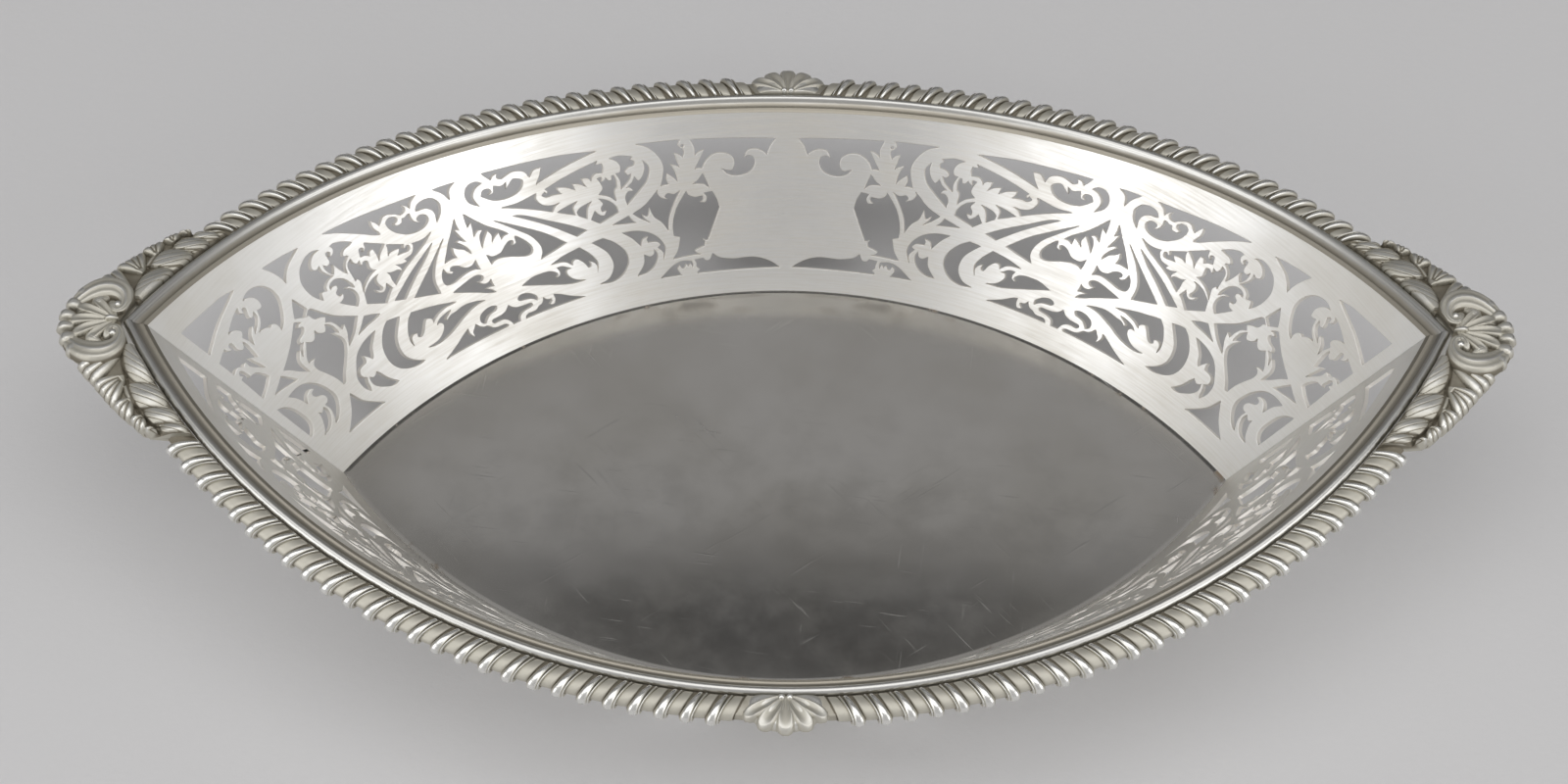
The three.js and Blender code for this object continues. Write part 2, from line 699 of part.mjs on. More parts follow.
// The back half is modelled once; the front half is the same half turned about the middle
const halves = [
  { name: "back", place: (mesh) => mesh.position.set(0, seatGap / 2, 0) },
  {
    name: "front",
    place: (mesh) => {
      mesh.rotation.z = Math.PI;
      mesh.position.set(0, -seatGap / 2, 0);
    },
  },
];

addPiece("floor_plate", makeFloor(), mirrorSilver);
for (const { name, place } of halves) {
  addPiece(`${name}_side_panel`, makePanel(), silver, place);
  addPiece(`${name}_rim_wire`, rimBar(wireProfile, evenSteps(bodySteps)), silver, place);
  addPiece(`${name}_centre_shell`, makeCentreShell(), patinatedSilver, place);
  for (const hand of [-1, 1]) {
    const end = (hand === 1) === (name === "back") ? "right" : "left";
    addPiece(`${name}_${end}_gadroon_run`, makeGadroonRun(hand), patinatedSilver, place);
    addPiece(`${name}_${end}_leaf_spray`, makeLeafSpray(hand), patinatedSilver, place);
  }
}
const ornament = geometryFrom(makeEndOrnament());
addPiece("right_end_shell", ornament, patinatedSilver);
addPiece("left_end_shell", ornament, patinatedSilver, (mesh) => {
  mesh.rotation.z = Math.PI;
});

export default basket;
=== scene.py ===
"""Pierced silver basket: its visual model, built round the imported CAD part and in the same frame.

Sizes are written in millimetres and become metres when a mesh is made. The long axis is X, the far
side is +Y, and the origin lies under the middle of the flat underside.
"""

import logging
import math
from collections.abc import Sequence
from dataclasses import dataclass, replace
from enum import Enum

import bmesh
import bpy
import numpy as np
from mathutils import Matrix, Vector
from mathutils.geometry import delaunay_2d_cdt


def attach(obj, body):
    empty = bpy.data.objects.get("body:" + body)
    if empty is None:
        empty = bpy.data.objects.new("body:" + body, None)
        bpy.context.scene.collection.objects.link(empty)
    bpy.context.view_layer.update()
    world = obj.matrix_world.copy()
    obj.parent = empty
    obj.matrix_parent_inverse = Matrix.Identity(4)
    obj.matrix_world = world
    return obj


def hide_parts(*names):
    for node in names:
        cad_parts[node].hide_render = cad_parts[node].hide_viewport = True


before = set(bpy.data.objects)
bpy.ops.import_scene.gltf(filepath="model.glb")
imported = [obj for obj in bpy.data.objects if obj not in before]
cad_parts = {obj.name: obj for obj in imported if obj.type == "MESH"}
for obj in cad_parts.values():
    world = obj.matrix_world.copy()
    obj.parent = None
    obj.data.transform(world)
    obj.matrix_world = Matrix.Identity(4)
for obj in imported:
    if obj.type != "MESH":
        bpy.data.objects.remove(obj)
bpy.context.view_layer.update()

log = logging.getLogger("basket")

MM = 0.001
# Points of a mesh closer than this, in metres, are one
WELD = 1e-7
# Points of a flat outline closer than this, in millimetres, are one
SNAP = 1e-6
# Least length that is divided by
TINY = 1e-9
# Small step along a bow that gives its direction
T_STEP = 1e-3
# Least sum of the directions at a corner of an outline: at sharper ones the offset gets shorter
SHARP_CORNER = 0.4
# Half of the seam between the two halves of the basket, in millimetres
HALF_SEAM = 0.03
# The drawing's texture coordinates are in decimetres
DRAWING_SCALE = 0.01
# Average of the cloudy noise
NOISE_MIDDLE = 0.5
Array = np.ndarray
Colour = tuple[float, float, float]
Span = tuple[float, float]
Outline = list[tuple[float, ...]]

# Pierced openings of one half of a panel, from the shield in the middle to a tip. Each is a closed
# outline of curved runs: a run starts at the corner where the one before it ended, and the last
# one ends at the first corner. A run's numbers are the distance from the middle and the height
# up the slope for each of its points in turn, in millimetres.
FRETWORK: list[Outline] = [
    # Beside the shield and down to the foot
    [(23.1, 43.3, 12, 42.4, 2.6, 41.8), (3.9, 40.2, 5, 37.4), (5.7, 38.3, 7.8, 39.25, 9.6, 38.9, 10.6,
     37.1), (9.6, 37.6, 8.3, 37, 8, 35.3, 9.2, 33.2, 12.3, 32.2, 15, 32.9, 16.4, 34.6), (15.4, 34.1, 14,
     33.8, 13.1, 35.2, 13.3, 37.3, 15, 38.6, 17.5, 38.8, 20, 37.1, 21.2, 35.1), (22.2, 35.3, 23.2, 35),
     (21.9, 37, 20.1, 40.1), (21.4, 39.7, 22.6, 38.7), (22.4, 40.8)],
    [(21.2, 33.8, 20.6, 31.8, 20, 29.5), (21.3, 30.7, 22.6, 31, 24.2, 31.1), (22.7, 32.1)],
    [(19.4, 28.6, 18.5, 26.5, 18, 23.9), (20.2, 19.4, 22.4, 15.3), (23.1, 15.4, 24, 15.9), (23.3, 15.1,
     23.6, 13.8), (25.4, 13.3, 26.6, 12.7, 26, 12), (24.8, 11.6), (28, 11.6, 33.4, 11.3), (31.4, 13.6, 30,
     17), (31.7, 17.6), (31.4, 20.4, 29.6, 24.9, 26.1, 29.5), (25.8, 28.4, 24.3, 27.5, 22, 27.5, 22.2, 26.3,
     22.9, 25.9), (21.6, 25.8, 21, 27, 21.6, 28.4), ()],
    [(36.2, 44.4, 30.5, 43.9, 25.4, 43.6), (26.2, 42.2, 25.1, 40.9), (25, 40, 25.6, 38.7), (26.3, 39.7,
     27.4, 40.2), (27.1, 38, 26.7, 36.1), (27.6, 36.8, 28.9, 37.4), (28, 34.8, 27.8, 32.2), (28.8, 33.7,
     30.1, 35), (30.6, 33.4, 30.2, 31.9), (31.2, 32, 32.4, 31.8), (31.3, 34.4, 30.7, 37.4, 31.6, 40.4, 33.6,
     43)],
    [(41.3, 25.8, 37.4, 27.6, 33.3, 31.1), (33.6, 30, 32.9, 28.7, 31.2, 27.9), (31.9, 28.8, 31, 29.6, 29.5,
     29.1, 27.6, 29.9), (29.8, 26.6, 31.8, 23, 32.9, 19.2), (34.2, 22, 35.9, 23.8, 36.5, 26.5), (37.1, 24.9,
     37.6, 24.2, 38.9, 25.2), (38.6, 24, 37.2, 22.4), (39.5, 24)],
    [(47.5, 24, 44.8, 24.8, 42.5, 25.5), (41.9, 24.1, 40.9, 23.1), (44, 23.5)],
    [(45.6, 21.3, 41.5, 20.9, 38.2, 19.7, 35.7, 17.4, 34.8, 14.6, 36.3, 11.3), (35.8, 13.6, 37, 15.3), (36,
     15.9, 36.7, 16.8, 39.3, 17.1), (39.4, 18, 38.8, 18.8), (40.6, 18.2, 41.5, 16.4), (43.2, 19)],
    [(45, 8.5, 41.8, 8.9, 39, 10.5, 37.5, 13.2, 38.1, 15), (38.5, 13.7, 39.8, 13.2, 41.3, 14.1), (42,
     11.6)],
    [(38.4, 6.6, 33.4, 9.7, 30.6, 10.4, 28.1, 10), (27.8, 9, 28.2, 8.2), (28.6, 9.3, 29.4, 8.6), (29.8, 9.4,
     30.6, 8.4, 31.4, 8.4), (31.8, 9.4), (32.7, 8.2, 31.8, 6.5), ()],
    [(27.2, 10.3, 24.6, 10.5), (24, 9.8, 22.8, 9.8, 21.6, 11.5), (20, 10.3, 16, 9.5, 9.5, 9.6, 5.2, 8.5,
     1.7, 6.6), (14, 6.4, 27, 6.4), (27, 6.9, 26.1, 7.4, 27, 8.2), (26.8, 9.2)],
    # Scrolls and leaves under the rail
    [(73.9, 48.5, 65, 47.4, 55, 46.3, 45.6, 44.8), (54, 43, 62.6, 40.6), (60.9, 42.6, 59.7, 44.6), (61.6,
     44.6, 63.4, 43), (64, 45, 66.5, 46, 69.9, 45.2), (70.9, 45.9, 70.4, 47), (71.6, 46.8, 72.5, 45.9), ()],
    [(76.5, 42.8, 75.4, 44.1, 73.9, 43.9, 73.6, 42.9, 74.6, 42.4), (73.4, 42.4, 72.5, 44.2), (70.7, 43.4,
     69.2, 44), (69.9, 42.2), (68.6, 43.2, 67.3, 44.1, 65.3, 42.8, 66.8, 40.6, 70.4, 39.7, 74, 40.5)],
    [(78, 40.4, 80, 42.6, 79.9, 45, 78.2, 46.9, 76, 47, 74.8, 46), (76.8, 45.4, 78.4, 43.6, 78.4, 41.8)],
    [(73.3, 37.9, 69, 37.5, 63.4, 38.3), (64.1, 36.8, 63, 34.6, 60.8, 33.8, 58.6, 33.9), (60.2, 33.2, 61.3,
     32), (67, 35)],
    [(61, 38.6, 54.8, 40.3, 46.2, 42.2), (46.9, 41.3), (45.4, 41.2), (45.3, 40, 45.8, 38.6), (47.4, 38.9,
     48.6, 38.2, 49.2, 37.1), (49.7, 38.2, 51.3, 38.5), (51.2, 37, 50.7, 35.9), (52.2, 37.2, 53.9, 37.8),
     (53.7, 35.9), (55.4, 37.2, 57.9, 38.1), (58, 37, 57.3, 36), (59.4, 36.4, 61.4, 36.4, 62.3, 37.3, 61.3,
     37.9), (60.9, 37.2), (60.5, 37.9)],
    [(60.4, 31.5, 57.5, 32.3, 54.2, 32.9), (55.9, 31.4, 56, 29.3), ()],
    [(55.4, 30, 54.2, 30.9, 50.7, 31.8), (52.2, 30.4, 53.4, 27.4), (55.3, 28.9), ()],
    [(48.9, 32.1, 46.6, 30.9, 45, 28.8, 44.8, 27), (50.5, 25.2), (52.5, 26.9), (50.8, 29), (50.1, 27.8,
     48.8, 27.1, 47.7, 28.3), (49, 28.3, 48.9, 29.4, 48.1, 30.4)],
    [(47.6, 37.5, 46.5, 37.6, 46.4, 37, 46.8, 36.3), (46, 36.5, 45.4, 37.2), (45, 36.3, 44.2, 36.2, 43.8,
     37.4), (43.3, 37.3), (43, 35.6, 43.3, 34), (44.2, 33, 44.5, 30.1), (46, 31.9, 48.4, 33.1), (47, 34.4,
     47.1, 36.2)],
    [(43.3, 42.1, 40.8, 42.2, 37.6, 41.3), (38.3, 40.6), (37.4, 39.8, 37.7, 38.8), (39.3, 38.5, 40.3, 37.4,
     39.9, 36.5), (38.9, 36.7), (39.6, 35.3, 42.5, 33), (42.1, 35.4, 42.7, 37.7), (41.7, 37.7, 41.1, 39.3,
     41.8, 41.1)],
    [(35.4, 39.8, 34.2, 37.6, 35.3, 34.2, 38, 31.6, 42, 28.5), (42, 30.6, 40.8, 32.1, 39.6, 32), (40, 33,
     41.1, 33.2), (39.4, 34.3, 38.3, 35.8), (37.6, 34.5, 36.2, 35.7, 35.3, 37.8)],
    # Crescents and flowers along the foot
    [(54.6, 20.7, 51.2, 21.1), (48.6, 19.3, 46.2, 16, 46.2, 13, 48.9, 9.9, 52.6, 8.6, 56.7, 8.9), (53.2,
     9.9, 50.8, 12.9, 51, 16.4, 52.6, 18.7)],
    [(67.8, 18.3, 63.5, 19.5, 58.3, 20.4), (56, 17.6, 54.9, 15, 56, 12.3), (55.4, 14, 56, 15.4, 57, 15.9),
     (57, 14.6, 57.9, 14.3, 58.6, 15.9, 60.2, 17.5, 61.6, 17.2, 62, 16.2), (63.6, 17.7)],
    [(78.1, 15.7, 74.2, 16.8, 71.4, 16.9, 69.2, 16.7, 67.7, 16.05, 67, 15.1, 67.8, 14.3), (66.7, 14.6, 66.2,
     15.6, 66.6, 16.9), (65.2, 16.9, 62.7, 15.5), (64, 15.5, 64.6, 14.6, 64.2, 13.4, 62.8, 12.1, 60, 11.2),
     (64.5, 11.4, 71.5, 13.4)],
    [(81.8, 6.75, 81.4, 7.4, 80.5, 7.8, 78.7, 7.8, 77.5, 8, 76.6, 8.6, 75.3, 9, 74.6, 9.6, 74.1, 10.5),
     (73.6, 9.7, 72.8, 9.4, 72.1, 9.3, 72.2, 8.75, 73.3, 8.05), (72.5, 7.7, 71.6, 7.9, 70.9, 8.9, 70.8,
     10.3), (69.5, 9.9, 66, 8.1, 62.2, 6.8), ()],
    [(76, 10.3, 76.9, 11.1, 78.1, 11.6, 79.5, 11.8, 80.7, 12, 81.2, 12.6, 80.6, 13.2, 79.5, 13.5, 78.1,
     13.3, 76.6, 12.5, 75.65, 11.4)],
    # Palmette in the middle of the half, and the rays that leave it
    [(76.6, 35.4, 72.6, 31.2, 69.3, 27.6, 68.1, 24.4, 68.3, 22.6, 69.6, 20.7), (65, 21.7, 61.1, 22.7),
     (65.5, 27, 71, 31.2)],
    [(71.5, 34.7, 69, 33.8, 64, 30.5, 59, 27.4, 54.5, 24.4), (57.7, 23.5), (64.5, 29.4)],
    [(82.8, 40.4, 80.6, 37, 78.9, 34.8, 76, 32.1, 74.6, 30.5), (76, 30.4, 77.1, 29.8), (76.9, 31.8), (78.2,
     31.2, 79.8, 30), (78.8, 31.9, 79.3, 33.5), (81, 31.8, 82.8, 29.7), (82.2, 32, 81.5, 33.3, 80.4, 34.2),
     (81.4, 34.6, 83.3, 33.4), (82.6, 35.3, 82.05, 37.4), (83.6, 36.4), ()],
    [(85.4, 40.2, 88.1, 37, 90, 35, 92, 32.6, 93.9, 30.4), (92.4, 30.5, 91, 30.5, 90.1, 30.2), (90.3, 31.6,
     89.7, 33.3), (88.7, 32.3, 87.4, 31.5, 86.2, 29.5), (86.1, 30.6, 86.9, 32.5, 88.1, 34.1), (87.2, 34.3,
     86.4, 33.6, 85.8, 33.2), (86.3, 34.6, 86.9, 37.2), (86.4, 37.3, 85.8, 36.7), (85.8, 38.3)],
    [(82.8, 27.6, 81.6, 26.4, 80, 26.3, 78.6, 26.6, 76.9, 27.9, 75.3, 28.6, 74.4, 28.2, 75.1, 27.1), (73.9,
     27.4, 73.6, 28.9), (73.3, 29.3), (72.5, 28.5, 71, 26.4, 70.45, 24.6, 71, 23.3, 72.5, 22.9, 76.9, 24.4,
     79.5, 25.15, 81.6, 25.1, 82.8, 24.5), ()],
    [(95.1, 29.2, 96.2, 28, 97.1, 26, 96.9, 24.9, 96, 24.5, 94.4, 24.4, 91.9, 24.9, 89.2, 25.3, 87.3, 25.1,
     86.2, 24.5), (86.3, 25.8, 86.1, 27.5), (87, 26.8, 88.4, 26.4, 90, 26.9, 91, 28, 92.4, 28.6, 93.3, 28.5,
     93.65, 27.9, 93.05, 27.2), (93.75, 26.9, 94.8, 27.6)],
    [(80.3, 22.2, 80.9, 21.75, 81.5, 21.6, 82.05, 22.2, 81.6, 22.9, 80.5, 23.2, 78.9, 23.05, 76.9, 22.15,
     74.9, 21.1, 73, 20.45, 70.6, 20.3), (75, 19.2, 80, 17.5, 82.3, 16.2), (81.4, 18, 80.2, 18.8), (81.8,
     18.8, 83, 18.2), (82.75, 19.5, 83.1, 20.75), (81.8, 20.4, 80.8, 20.9)],
    [(85.1, 20.9, 85.3, 19.8, 85.2, 18.7), (86.3, 19, 87.7, 18.9), (86.4, 18.1, 85.6, 16.9), (87.6, 17.6,
     90, 18.9, 94, 20.9, 96.5, 22.15), (92.5, 22.95, 90, 23.4, 88.4, 23.5, 87.3, 23.2, 86.7, 22.6, 86.9,
     21.9, 87.7, 21.5, 88.6, 21.65), (88.1, 20.8, 87.1, 20.3, 86, 20.4)],
    [(84.6, 12.25, 84, 11.4, 83, 10.8, 81.4, 10.5, 79.5, 10.4, 78.3, 10.3, 77.95, 9.8, 78.4, 9.3, 79.5,
     9.15, 80.9, 8.95, 82.4, 8.5, 83.25, 7.8, 83.7, 6.75), (86.1, 6.75), (86.3, 7.6, 86.9, 8.5, 88, 9.1,
     89.5, 9.2, 90.9, 9.2, 91.5, 9.75, 91, 10.3, 89.5, 10.4, 87.6, 10.55, 86, 11.1)],
    [(93.3, 10.2, 94.3, 10.9, 94.2, 11.9, 93.4, 12.9, 92.2, 13.5, 90.6, 13.9, 89, 13.9, 87.8, 13.3, 88.6,
     12.4, 90.2, 12.1, 91.5, 11.7, 92.6, 10.9)],
    [(110.2, 6.8, 106.9, 7.9, 104, 9, 101.5, 10.2, 98.9, 11.3), (99.3, 9.9, 98.9, 8.8, 98.4, 8.3), (98.1,
     9.7, 97.4, 10.3, 96.2, 11.4), (95.6, 10.4, 94.7, 9.7, 93.3, 9.4, 92.2, 8.3, 91, 7.9, 89.4, 7.8, 88.1,
     7.65, 87.6, 7.1, 88.1, 6.75), ()],
    [(109.9, 23.3, 106.9, 22.5, 103, 21.45, 99.5, 20.3, 97.1, 19.5), (98.6, 19.45, 100.3, 19.55, 102.1,
     19.25, 104, 18.75, 106.4, 17.6), (106, 18.6, 106.7, 19.3, 107.5, 19.4, 108.8, 18.3, 110.4, 16.7, 111.7,
     16, 112.6, 16.5, 112.1, 17.5), (113.4, 17.65, 114.5, 17, 115, 15.9, 115.3, 14.7), (115.4, 16.2, 114.6,
     18.3, 113.3, 20.2, 111.8, 21.9)],
    [(112.2, 12.45, 110.8, 11.9, 108.9, 11.7, 106.4, 11.9, 103.9, 12.4, 101.5, 13.2, 98.9, 14.2, 96.5, 15,
     94, 15.75, 91.8, 16.1, 89.7, 16.2), (91.1, 16.7, 93.05, 17.25, 95, 17.55, 97, 17.5, 99, 17.15, 101,
     16.95, 102.55, 16.15), (102.6, 16.7, 101.8, 17.2, 100.5, 17.85, 99.9, 18.3), (101.25, 18.2, 103.1,
     17.9, 104.6, 17.4, 106, 16.5), (104.8, 16.6, 104.2, 15.9, 104.7, 14.75, 106.9, 13.15, 108.5, 12.6,
     110.4, 12.4)],
    [(93.6, 37.05, 98.5, 34.8, 103.5, 32.5, 108, 30.2, 111.4, 28.5), (108.6, 27.2), (102, 31.3, 97.6,
     33.9)],
    [(90.4, 36.8, 98, 31.4, 106.4, 26.2), (103, 24.9, 99.5, 23.6), (98.8, 27.4, 95.6, 31.9)],
    # Under the rail beyond the palmette
    [(86.4, 49.9, 80.7, 49.2), (82.8, 47.9, 83.9, 45.3), (84.7, 47.8)],
    [(115.4, 54.7, 107, 53.35, 100, 52.05, 95, 51.2, 90.6, 50.6), (91.5, 50.2, 92.8, 49.35, 93.7, 48.1),
     (94.1, 49.2, 94.9, 49.9), (94.7, 48.8, 95.2, 48.1, 96.4, 47.8, 97.8, 48.9, 99.4, 49.65, 100.8, 49.5,
     101.7, 48.7, 102.6, 48.1), (102.9, 49.3, 103.7, 50.5), (104.2, 49, 104.1, 47.8, 103.6, 46.5, 103.7,
     45.9), (105, 46.7, 107.5, 48.85, 110, 50.9, 112.4, 52.8)],
    [(99.3, 46.4, 98.3, 46.7, 97.8, 47.3, 98.2, 48.1, 99, 48.55, 100, 48.5, 100.8, 47.9, 101, 47, 100.8,
     45.7, 100.2, 44.5, 99.2, 43.4, 97.9, 42.35, 96.3, 41.75, 94.6, 41.55, 93, 41.8, 91.7, 42.5, 90.95,
     43.6, 91.2, 44.6, 92.2, 45.2, 93.1, 45.1, 93.7, 44.6, 93.3, 43.4), (94.3, 44.1, 94.75, 45.2, 94.5, 47),
     (95.3, 46.95, 96, 46.6, 96.8, 46.75), (97.3, 45.8, 98.3, 45.6, 99, 45.8)],
    [(92.8, 46.8, 92.3, 47.5, 91.5, 48.15, 90.3, 48.45, 89, 48.4, 87.6, 47.8, 86.9, 46.8, 86.6, 45.7, 86.9,
     44.6, 87.5, 43.4, 88.6, 42.25, 89.7, 41.4), (89.1, 43, 88.9, 44.1, 89.2, 45.2, 90, 46.05, 91, 46.4, 92,
     46.5)],
    [(132.4, 57.6, 127, 56.7, 122.2, 55.6), (124.4, 54.7, 126.7, 53.7, 128.8, 52.2, 130.6, 50.2), (130.6,
     52.3, 131, 54.2, 131.6, 56)],
    # Thistle between the rail and the rays
    [(98.3, 39.6, 97.2, 39.3, 95.6, 39.1, 94, 39.3, 92.3, 39.85), (95, 38, 98.9, 36.3, 103.9, 34.3, 108.4,
     31.9), (108.3, 34, 108, 35.2, 108.3, 36.2), (107.5, 35.6, 106.4, 35.4, 105.4, 35.2, 104.7, 34.4),
     (104.4, 35.4, 105.1, 36.7), (103.6, 36, 102, 35.9), (102.3, 36.8), (101.1, 36.8, 99.8, 37.1, 98.8, 38,
     98.2, 39.1)],
    [(104, 42.8, 101.7, 41.3, 100.2, 40.4), (100.7, 39.7, 100.6, 39.2), (100, 39.7, 99.35, 39.6, 99.3, 39,
     99.6, 38.5, 100.3, 38.2, 101.4, 38.4, 103.2, 38.7), (102.3, 39.3, 101.8, 40.05), (103, 40.35, 104.5,
     40.3, 105.4, 39.85), (104.9, 40.6, 104.2, 41.8)],
    [(108.4, 46.4, 106.7, 45, 104.2, 43.1), (105.3, 42.4, 107, 41.2, 108.1, 39.9), (107.6, 41.6, 107.5,
     43.7), (108.5, 43.6, 109.3, 42.5), (110, 43.3, 111.4, 43.7), (110.9, 44.8, 110.6, 45.5, 110, 45.7,
     109.4, 45.3, 109.9, 44.4), (109, 44.9, 108.7, 45.7)],
    [(112.2, 43.1, 112.5, 42.3, 112.5, 41.5), (111.5, 42.2, 110.7, 41.9, 110.8, 40.9, 111.2, 39.8, 110.9,
     38.9, 110.1, 38.4), (111.8, 38.1, 113.6, 37.4, 115.4, 36.3, 116.8, 35.05), (115.9, 36.9, 115.4, 38.3,
     115.8, 39.4), (116.5, 38.9), (116.2, 40.5, 116, 41.9), (115.6, 43.4, 114.8, 44.4, 113.7, 44.8),
     (113.85, 43.6, 113.3, 42.7)],
    [(118, 32.1, 117.3, 33.6, 116.8, 34.7), (115.6, 35.5, 114, 36.4, 112, 37, 110.3, 37.1), (111.3, 36.7,
     112, 35.7, 112, 34.4, 111.7, 33.5, 112.2, 32.9, 112.9, 33.2, 113.6, 33.9), (113.5, 32.8, 112.5, 32.2,
     111.3, 32.6, 110.2, 33.9), (110, 33, 109.6, 31.8), (110.6, 31.2, 113.4, 29.1), ()],
    # Two flowers in the ring
    [(118.6, 51.7, 119.4, 52.2, 120.6, 52.6, 122.2, 52.45, 123.9, 51.8, 125.6, 50.7, 127, 48.9, 127.85, 47,
     128.05, 45.2, 127.9, 43.3, 127.3, 41.6, 126.4, 40.05), (125.95, 41.2, 125.4, 42, 124.7, 41.85, 123.9,
     41.5), (123.6, 42.4, 122.8, 43.1, 121.7, 43.6, 120, 43.65), (120.9, 44.9, 121.5, 46.5, 121.25, 48.3),
     (122.3, 47.8, 123.1, 48.2, 123.1, 49, 122.5, 50.1, 121.2, 51.2, 119.9, 51.7)],
    [(120.3, 47.9, 119.9, 46.95, 119.1, 46.9, 118.4, 47.4, 118.15, 48.6, 118, 49.7, 117.4, 50, 116.8, 49.4,
     117.6, 48.5), (116.8, 48.45, 116, 49.1, 115.6, 50, 115.9, 50.8), (115, 50.95, 113.5, 50.4, 112.2, 49.6,
     110.7, 48.3), (111.7, 48, 112.9, 47.95, 114.1, 47.5, 114.8, 46.5, 114, 46.1), (113.7, 45.8), (115,
     44.9, 116.1, 43.8, 116.8, 41.9), (117.5, 43.4, 117.9, 45, 118.2, 46.3), (118.7, 45.2, 119.8, 43.95),
     (120.4, 45.1, 120.6, 46.6)],
    [(123.2, 41.2, 122.6, 42.2, 121.6, 42.7, 120.5, 42.75, 119.4, 42.3, 118.5, 41.4, 117.9, 40, 117.6, 38.7,
     117.7, 37.75), (118.1, 38.2, 118.7, 38.95, 119.9, 38.95), (119, 38.4, 118.4, 37.4, 118.3, 35.8, 119,
     34.3, 120.4, 33.05), (122.2, 35.1, 123.6, 36.8), (122.3, 37, 121.5, 37.7, 121.3, 38.4), (122.2, 38.2,
     122.7, 38.9, 122.4, 39.7, 121.4, 40.3, 121.2, 41.2, 122, 41.55)],
    # Diamond with one flower, and the crescents under it
    [(148.3, 33.3, 145, 34.95, 141.7, 36.9, 139.2, 38.7, 136.6, 40.8), (135.7, 40.2, 134.9, 39.4), (135.9,
     39.6, 136.8, 38.9), (135.7, 38.4, 135.7, 37.7, 136.6, 36.9, 138, 36.5, 139, 36.1, 139.4, 35.1), (138.4,
     35.1), (139.7, 34.1, 140.9, 32.9, 141.8, 31.9), (141.3, 32.9, 140.9, 34.1), (141.8, 33.4, 142.9, 32.2,
     143.4, 30.8, 143.4, 29.2, 143.3, 27.6), (145.3, 29.8, 147, 32.1)],
    [(138, 34.5, 139.7, 32.7, 141.1, 31.1, 141.9, 29.7), (140.9, 29.7, 139.5, 29.5), (140.8, 28.7, 141.35,
     27.8, 141.3, 26.4, 140.5, 24.4, 139.6, 21.8, 139.3, 20, 139.3, 18.7), (138.6, 18.5, 136.4, 20.6, 133.6,
     23, 131.3, 25.2, 129.9, 27.2, 129.7, 28.4, 130, 29.8), (130.8, 31.5), (130, 31.1, 129.4, 30.4), (129.3,
     31.8, 129.6, 33.4, 130.8, 34.9), (131.2, 34, 132, 33.2, 133.1, 33.5, 133.9, 34.4, 133.95, 35.5),
     (134.5, 34.9, 135.4, 33.8, 136.6, 33.4, 137.4, 33.8), ()],
    [(131.4, 40.8, 130.7, 40.7, 129.6, 39, 128.6, 37.2, 127.5, 35.5, 126, 33.9, 124.4, 32.6, 122.3, 30.9),
     (125.3, 28.3, 127.5, 26.9, 130, 25.7), (128.6, 27.7, 127.6, 29.1, 126.7, 31.4), (127.3, 31.1, 128.1,
     30.5), (128.25, 31.8, 128.5, 33.1, 129.1, 34.4, 130.3, 35.1), (129.7, 35.7, 129.2, 36.3), (130.2, 37.1,
     131.4, 37.5, 132, 38.2, 132.1, 39, 132.4, 39.7, 133.1, 39.7), (132.4, 40.2)],
    [(132.4, 46, 132, 44.5, 131.6, 42.7, 131.3, 41.3), (132.2, 40.7, 133.4, 39.8), (134.4, 40.7, 135.6,
     41.5), (134.5, 43.2)],
    [(125.8, 26.6, 123.6, 28, 121, 29.9), (119.2, 29.1, 117, 27.8), (118.3, 27.4, 121.9, 27.1)],
    [(117, 25.05, 115.2, 24.7, 113.2, 24.1), (114.4, 22.9, 116.2, 21.2, 117.9, 19.3, 119, 17.2, 119.5, 15,
     119.1, 13.1, 117.9, 11.5, 115.5, 9.85), (117.2, 9.65, 119.4, 10, 121.3, 10.7, 122.9, 11.8, 123.9, 13.4,
     124.2, 15.4, 123.8, 17.6, 122.7, 20, 120.8, 22.3, 119, 23.9)],
    [(121.2, 24.85, 124.2, 24.55, 127, 23.9, 129.7, 22.7, 131.6, 21.2, 133.3, 19.4, 134.8, 17.6, 135.5,
     15.6, 135.5, 13.6, 134.7, 11.8), (134, 12.9, 133.6, 14.2, 132.6, 15.7), (133.5, 16.3, 133.6, 17.4,
     132.8, 18.5, 131.3, 19, 129.8, 19.1, 129.2, 19.9, 128.9, 21.1), (128.1, 20.1, 127.5, 18.7), (126.6,
     19.5, 125.3, 21.4, 123.6, 22.9)],
    [(132, 15.4, 131.5, 14.7, 130.5, 14.65, 129.3, 15.4), (128.7, 14.2, 128.2, 12.5, 127.3, 10.8, 126, 9.3),
     (127.3, 9.05, 128.9, 9.4, 130.4, 10.3, 131.8, 11.4, 132.7, 12.9, 132.6, 14.3)],
    # Loop with three flowers, and the corners beside the tip
    [(158, 61.8, 150.3, 60.65, 144.5, 59.8, 141.2, 58.7), (144.4, 57.4, 150.3, 55.3, 155, 53.1, 157.9,
     51.75), ()],
    [(158.1, 48.2, 156.2, 49, 154.3, 49.7), (154.2, 49, 153.8, 48.2, 153.1, 48.05), (153.2, 48.9, 152.5,
     49.6, 151.9, 49.2, 151.95, 48, 152.1, 46.8, 151.3, 45.7, 150.4, 46.1, 149.7, 47.3), (149.4, 46.3,
     149.4, 45, 149.7, 43, 150.05, 41.2), (150.9, 42, 151.9, 42.8), (151.6, 41.1, 151.2, 39.5, 150.9, 37.6),
     (152.2, 39.2, 153.4, 41.2, 153.4, 42.7), (154, 42.8, 154.7, 42.4), (155.6, 43.3, 156.6, 43.5, 158.1,
     42.9), ()],
    [(157.9, 40.4, 156.8, 40.7), (157.3, 41.6, 156.6, 42.4, 155.95, 42, 155.7, 40.9, 155.5, 39.7), (155.8,
     39.1), (154.9, 39.05, 154, 38.8, 153.2, 37.9, 152.5, 36.5, 152.1, 35.1), (155, 33.5, 158.3, 32.2), ()],
